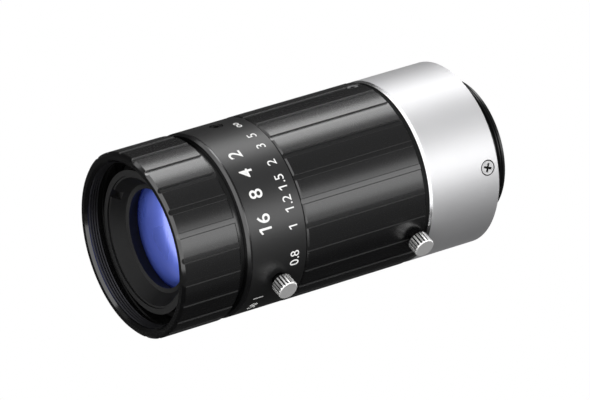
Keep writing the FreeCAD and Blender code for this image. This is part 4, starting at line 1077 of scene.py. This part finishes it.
def add_strip(name, angle, width, radiance, middle, length):
    """A long soft lamp parallel to the optical axis."""
    distance = 0.7
    lamp = bpy.data.lights.new(name, "AREA")
    lamp.shape = "RECTANGLE"
    lamp.size = width
    lamp.size_y = length
    lamp.energy = radiance * math.pi * width * length
    holder = bpy.data.objects.new(name, lamp)
    holder.matrix_world = around(angle, distance, middle)
    holder.visible_camera = False
    bpy.context.scene.collection.objects.link(holder)


def add_card(name, first, last, radiance, start, stop, distance):
    """A curved card round the optical axis that tones only what shiny pieces mirror."""
    mesh = bpy.data.meshes.new(name)
    points, faces = [], []
    steps = 12
    for step in range(steps + 1):
        turn = math.radians(first + (last - first) * step / steps)
        for y in (start, stop):
            points.append((distance * math.sin(turn), y, distance * math.cos(turn)))
    for step in range(steps):
        base = step * 2
        faces.append((base, base + 1, base + 3, base + 2))
    mesh.from_pydata(points, [], faces)
    card = new_piece(name, mesh, plain_light(name, (1.0, 1.0, 1.0), radiance))
    card.visible_camera = False
    card.visible_diffuse = False
    card.visible_shadow = False


def add_camera():
    """The camera of the photograph."""
    turn, height = math.radians(CAMERA_AZIMUTH), math.radians(CAMERA_ELEVATION)
    back = Vector((
        math.sin(turn) * math.cos(height), -math.cos(turn) * math.cos(height),
        math.sin(height)))
    right = Vector((math.cos(turn), math.sin(turn), 0.0))
    up = back.cross(right)
    target = Vector((0.0, CAMERA_AIM, 0.0)) + right * CAMERA_OFFSET
    camera = bpy.data.cameras.new("camera")
    camera.sensor_width = CAMERA_SENSOR
    camera.lens = CAMERA_FOCAL_LENGTH
    holder = bpy.data.objects.new("camera", camera)
    turned = Matrix((right, up, back)).transposed().to_4x4()
    holder.matrix_world = Matrix.Translation(target + back * CAMERA_DISTANCE) @ turned
    bpy.context.scene.collection.objects.link(holder)
    bpy.context.scene.camera = holder


class LENS_OT_studio(bpy.types.Operator):
    """Set up the floor, the lamps, the toned cards and the camera."""

    bl_idname = "lens.studio"
    bl_label = "Studio"

    def execute(self, context):
        context.scene.view_settings.view_transform = "Standard"
        white_world(fill=0.55)
        add_floor()
        add_strip("left_strip", angle=-22.0, width=0.34, radiance=5.2, middle=0.35, length=0.4)
        add_strip("right_strip", angle=72.0, width=0.34, radiance=2.9, middle=0.05, length=2.0)
        for card in CARDS:
            add_card(*card)
        add_camera()
        return {"FINISHED"}


# Panel, registration and the run

OPERATORS = (
    LENS_OT_black_rings, LENS_OT_bright_barrel, LENS_OT_screws, LENS_OT_inner_pieces,
    LENS_OT_glass, LENS_OT_filter_thread, LENS_OT_mount_thread, LENS_OT_scale_marks,
    LENS_OT_soft_edges, LENS_OT_studio)


class LENS_PT_sidebar(bpy.types.Panel):
    """The sizes, the colours and the steps that dress the lens."""

    bl_idname = "LENS_PT_sidebar"
    bl_label = "Machine vision lens"
    bl_space_type = "VIEW_3D"
    bl_region_type = "UI"
    bl_category = "Lens"

    def draw(self, context):
        for group in (context.scene.lens_sizes, context.scene.lens_colours):
            box = self.layout.box()
            for name in group.__annotations__:
                box.prop(group, name)
        for operator in OPERATORS:
            self.layout.operator(operator.bl_idname)


CLASSES = (LensSizes, LensColours, *OPERATORS, LENS_PT_sidebar)


def register():
    for item in CLASSES:
        bpy.utils.register_class(item)
    bpy.types.Scene.lens_sizes = PointerProperty(type=LensSizes)
    bpy.types.Scene.lens_colours = PointerProperty(type=LensColours)


def unregister():
    del bpy.types.Scene.lens_colours
    del bpy.types.Scene.lens_sizes
    for item in reversed(CLASSES):
        bpy.utils.unregister_class(item)


def main():
    register()
    for operator in OPERATORS:
        group, name = operator.bl_idname.split(".")
        getattr(getattr(bpy.ops, group), name)()


if __name__ == "__main__":
    main()
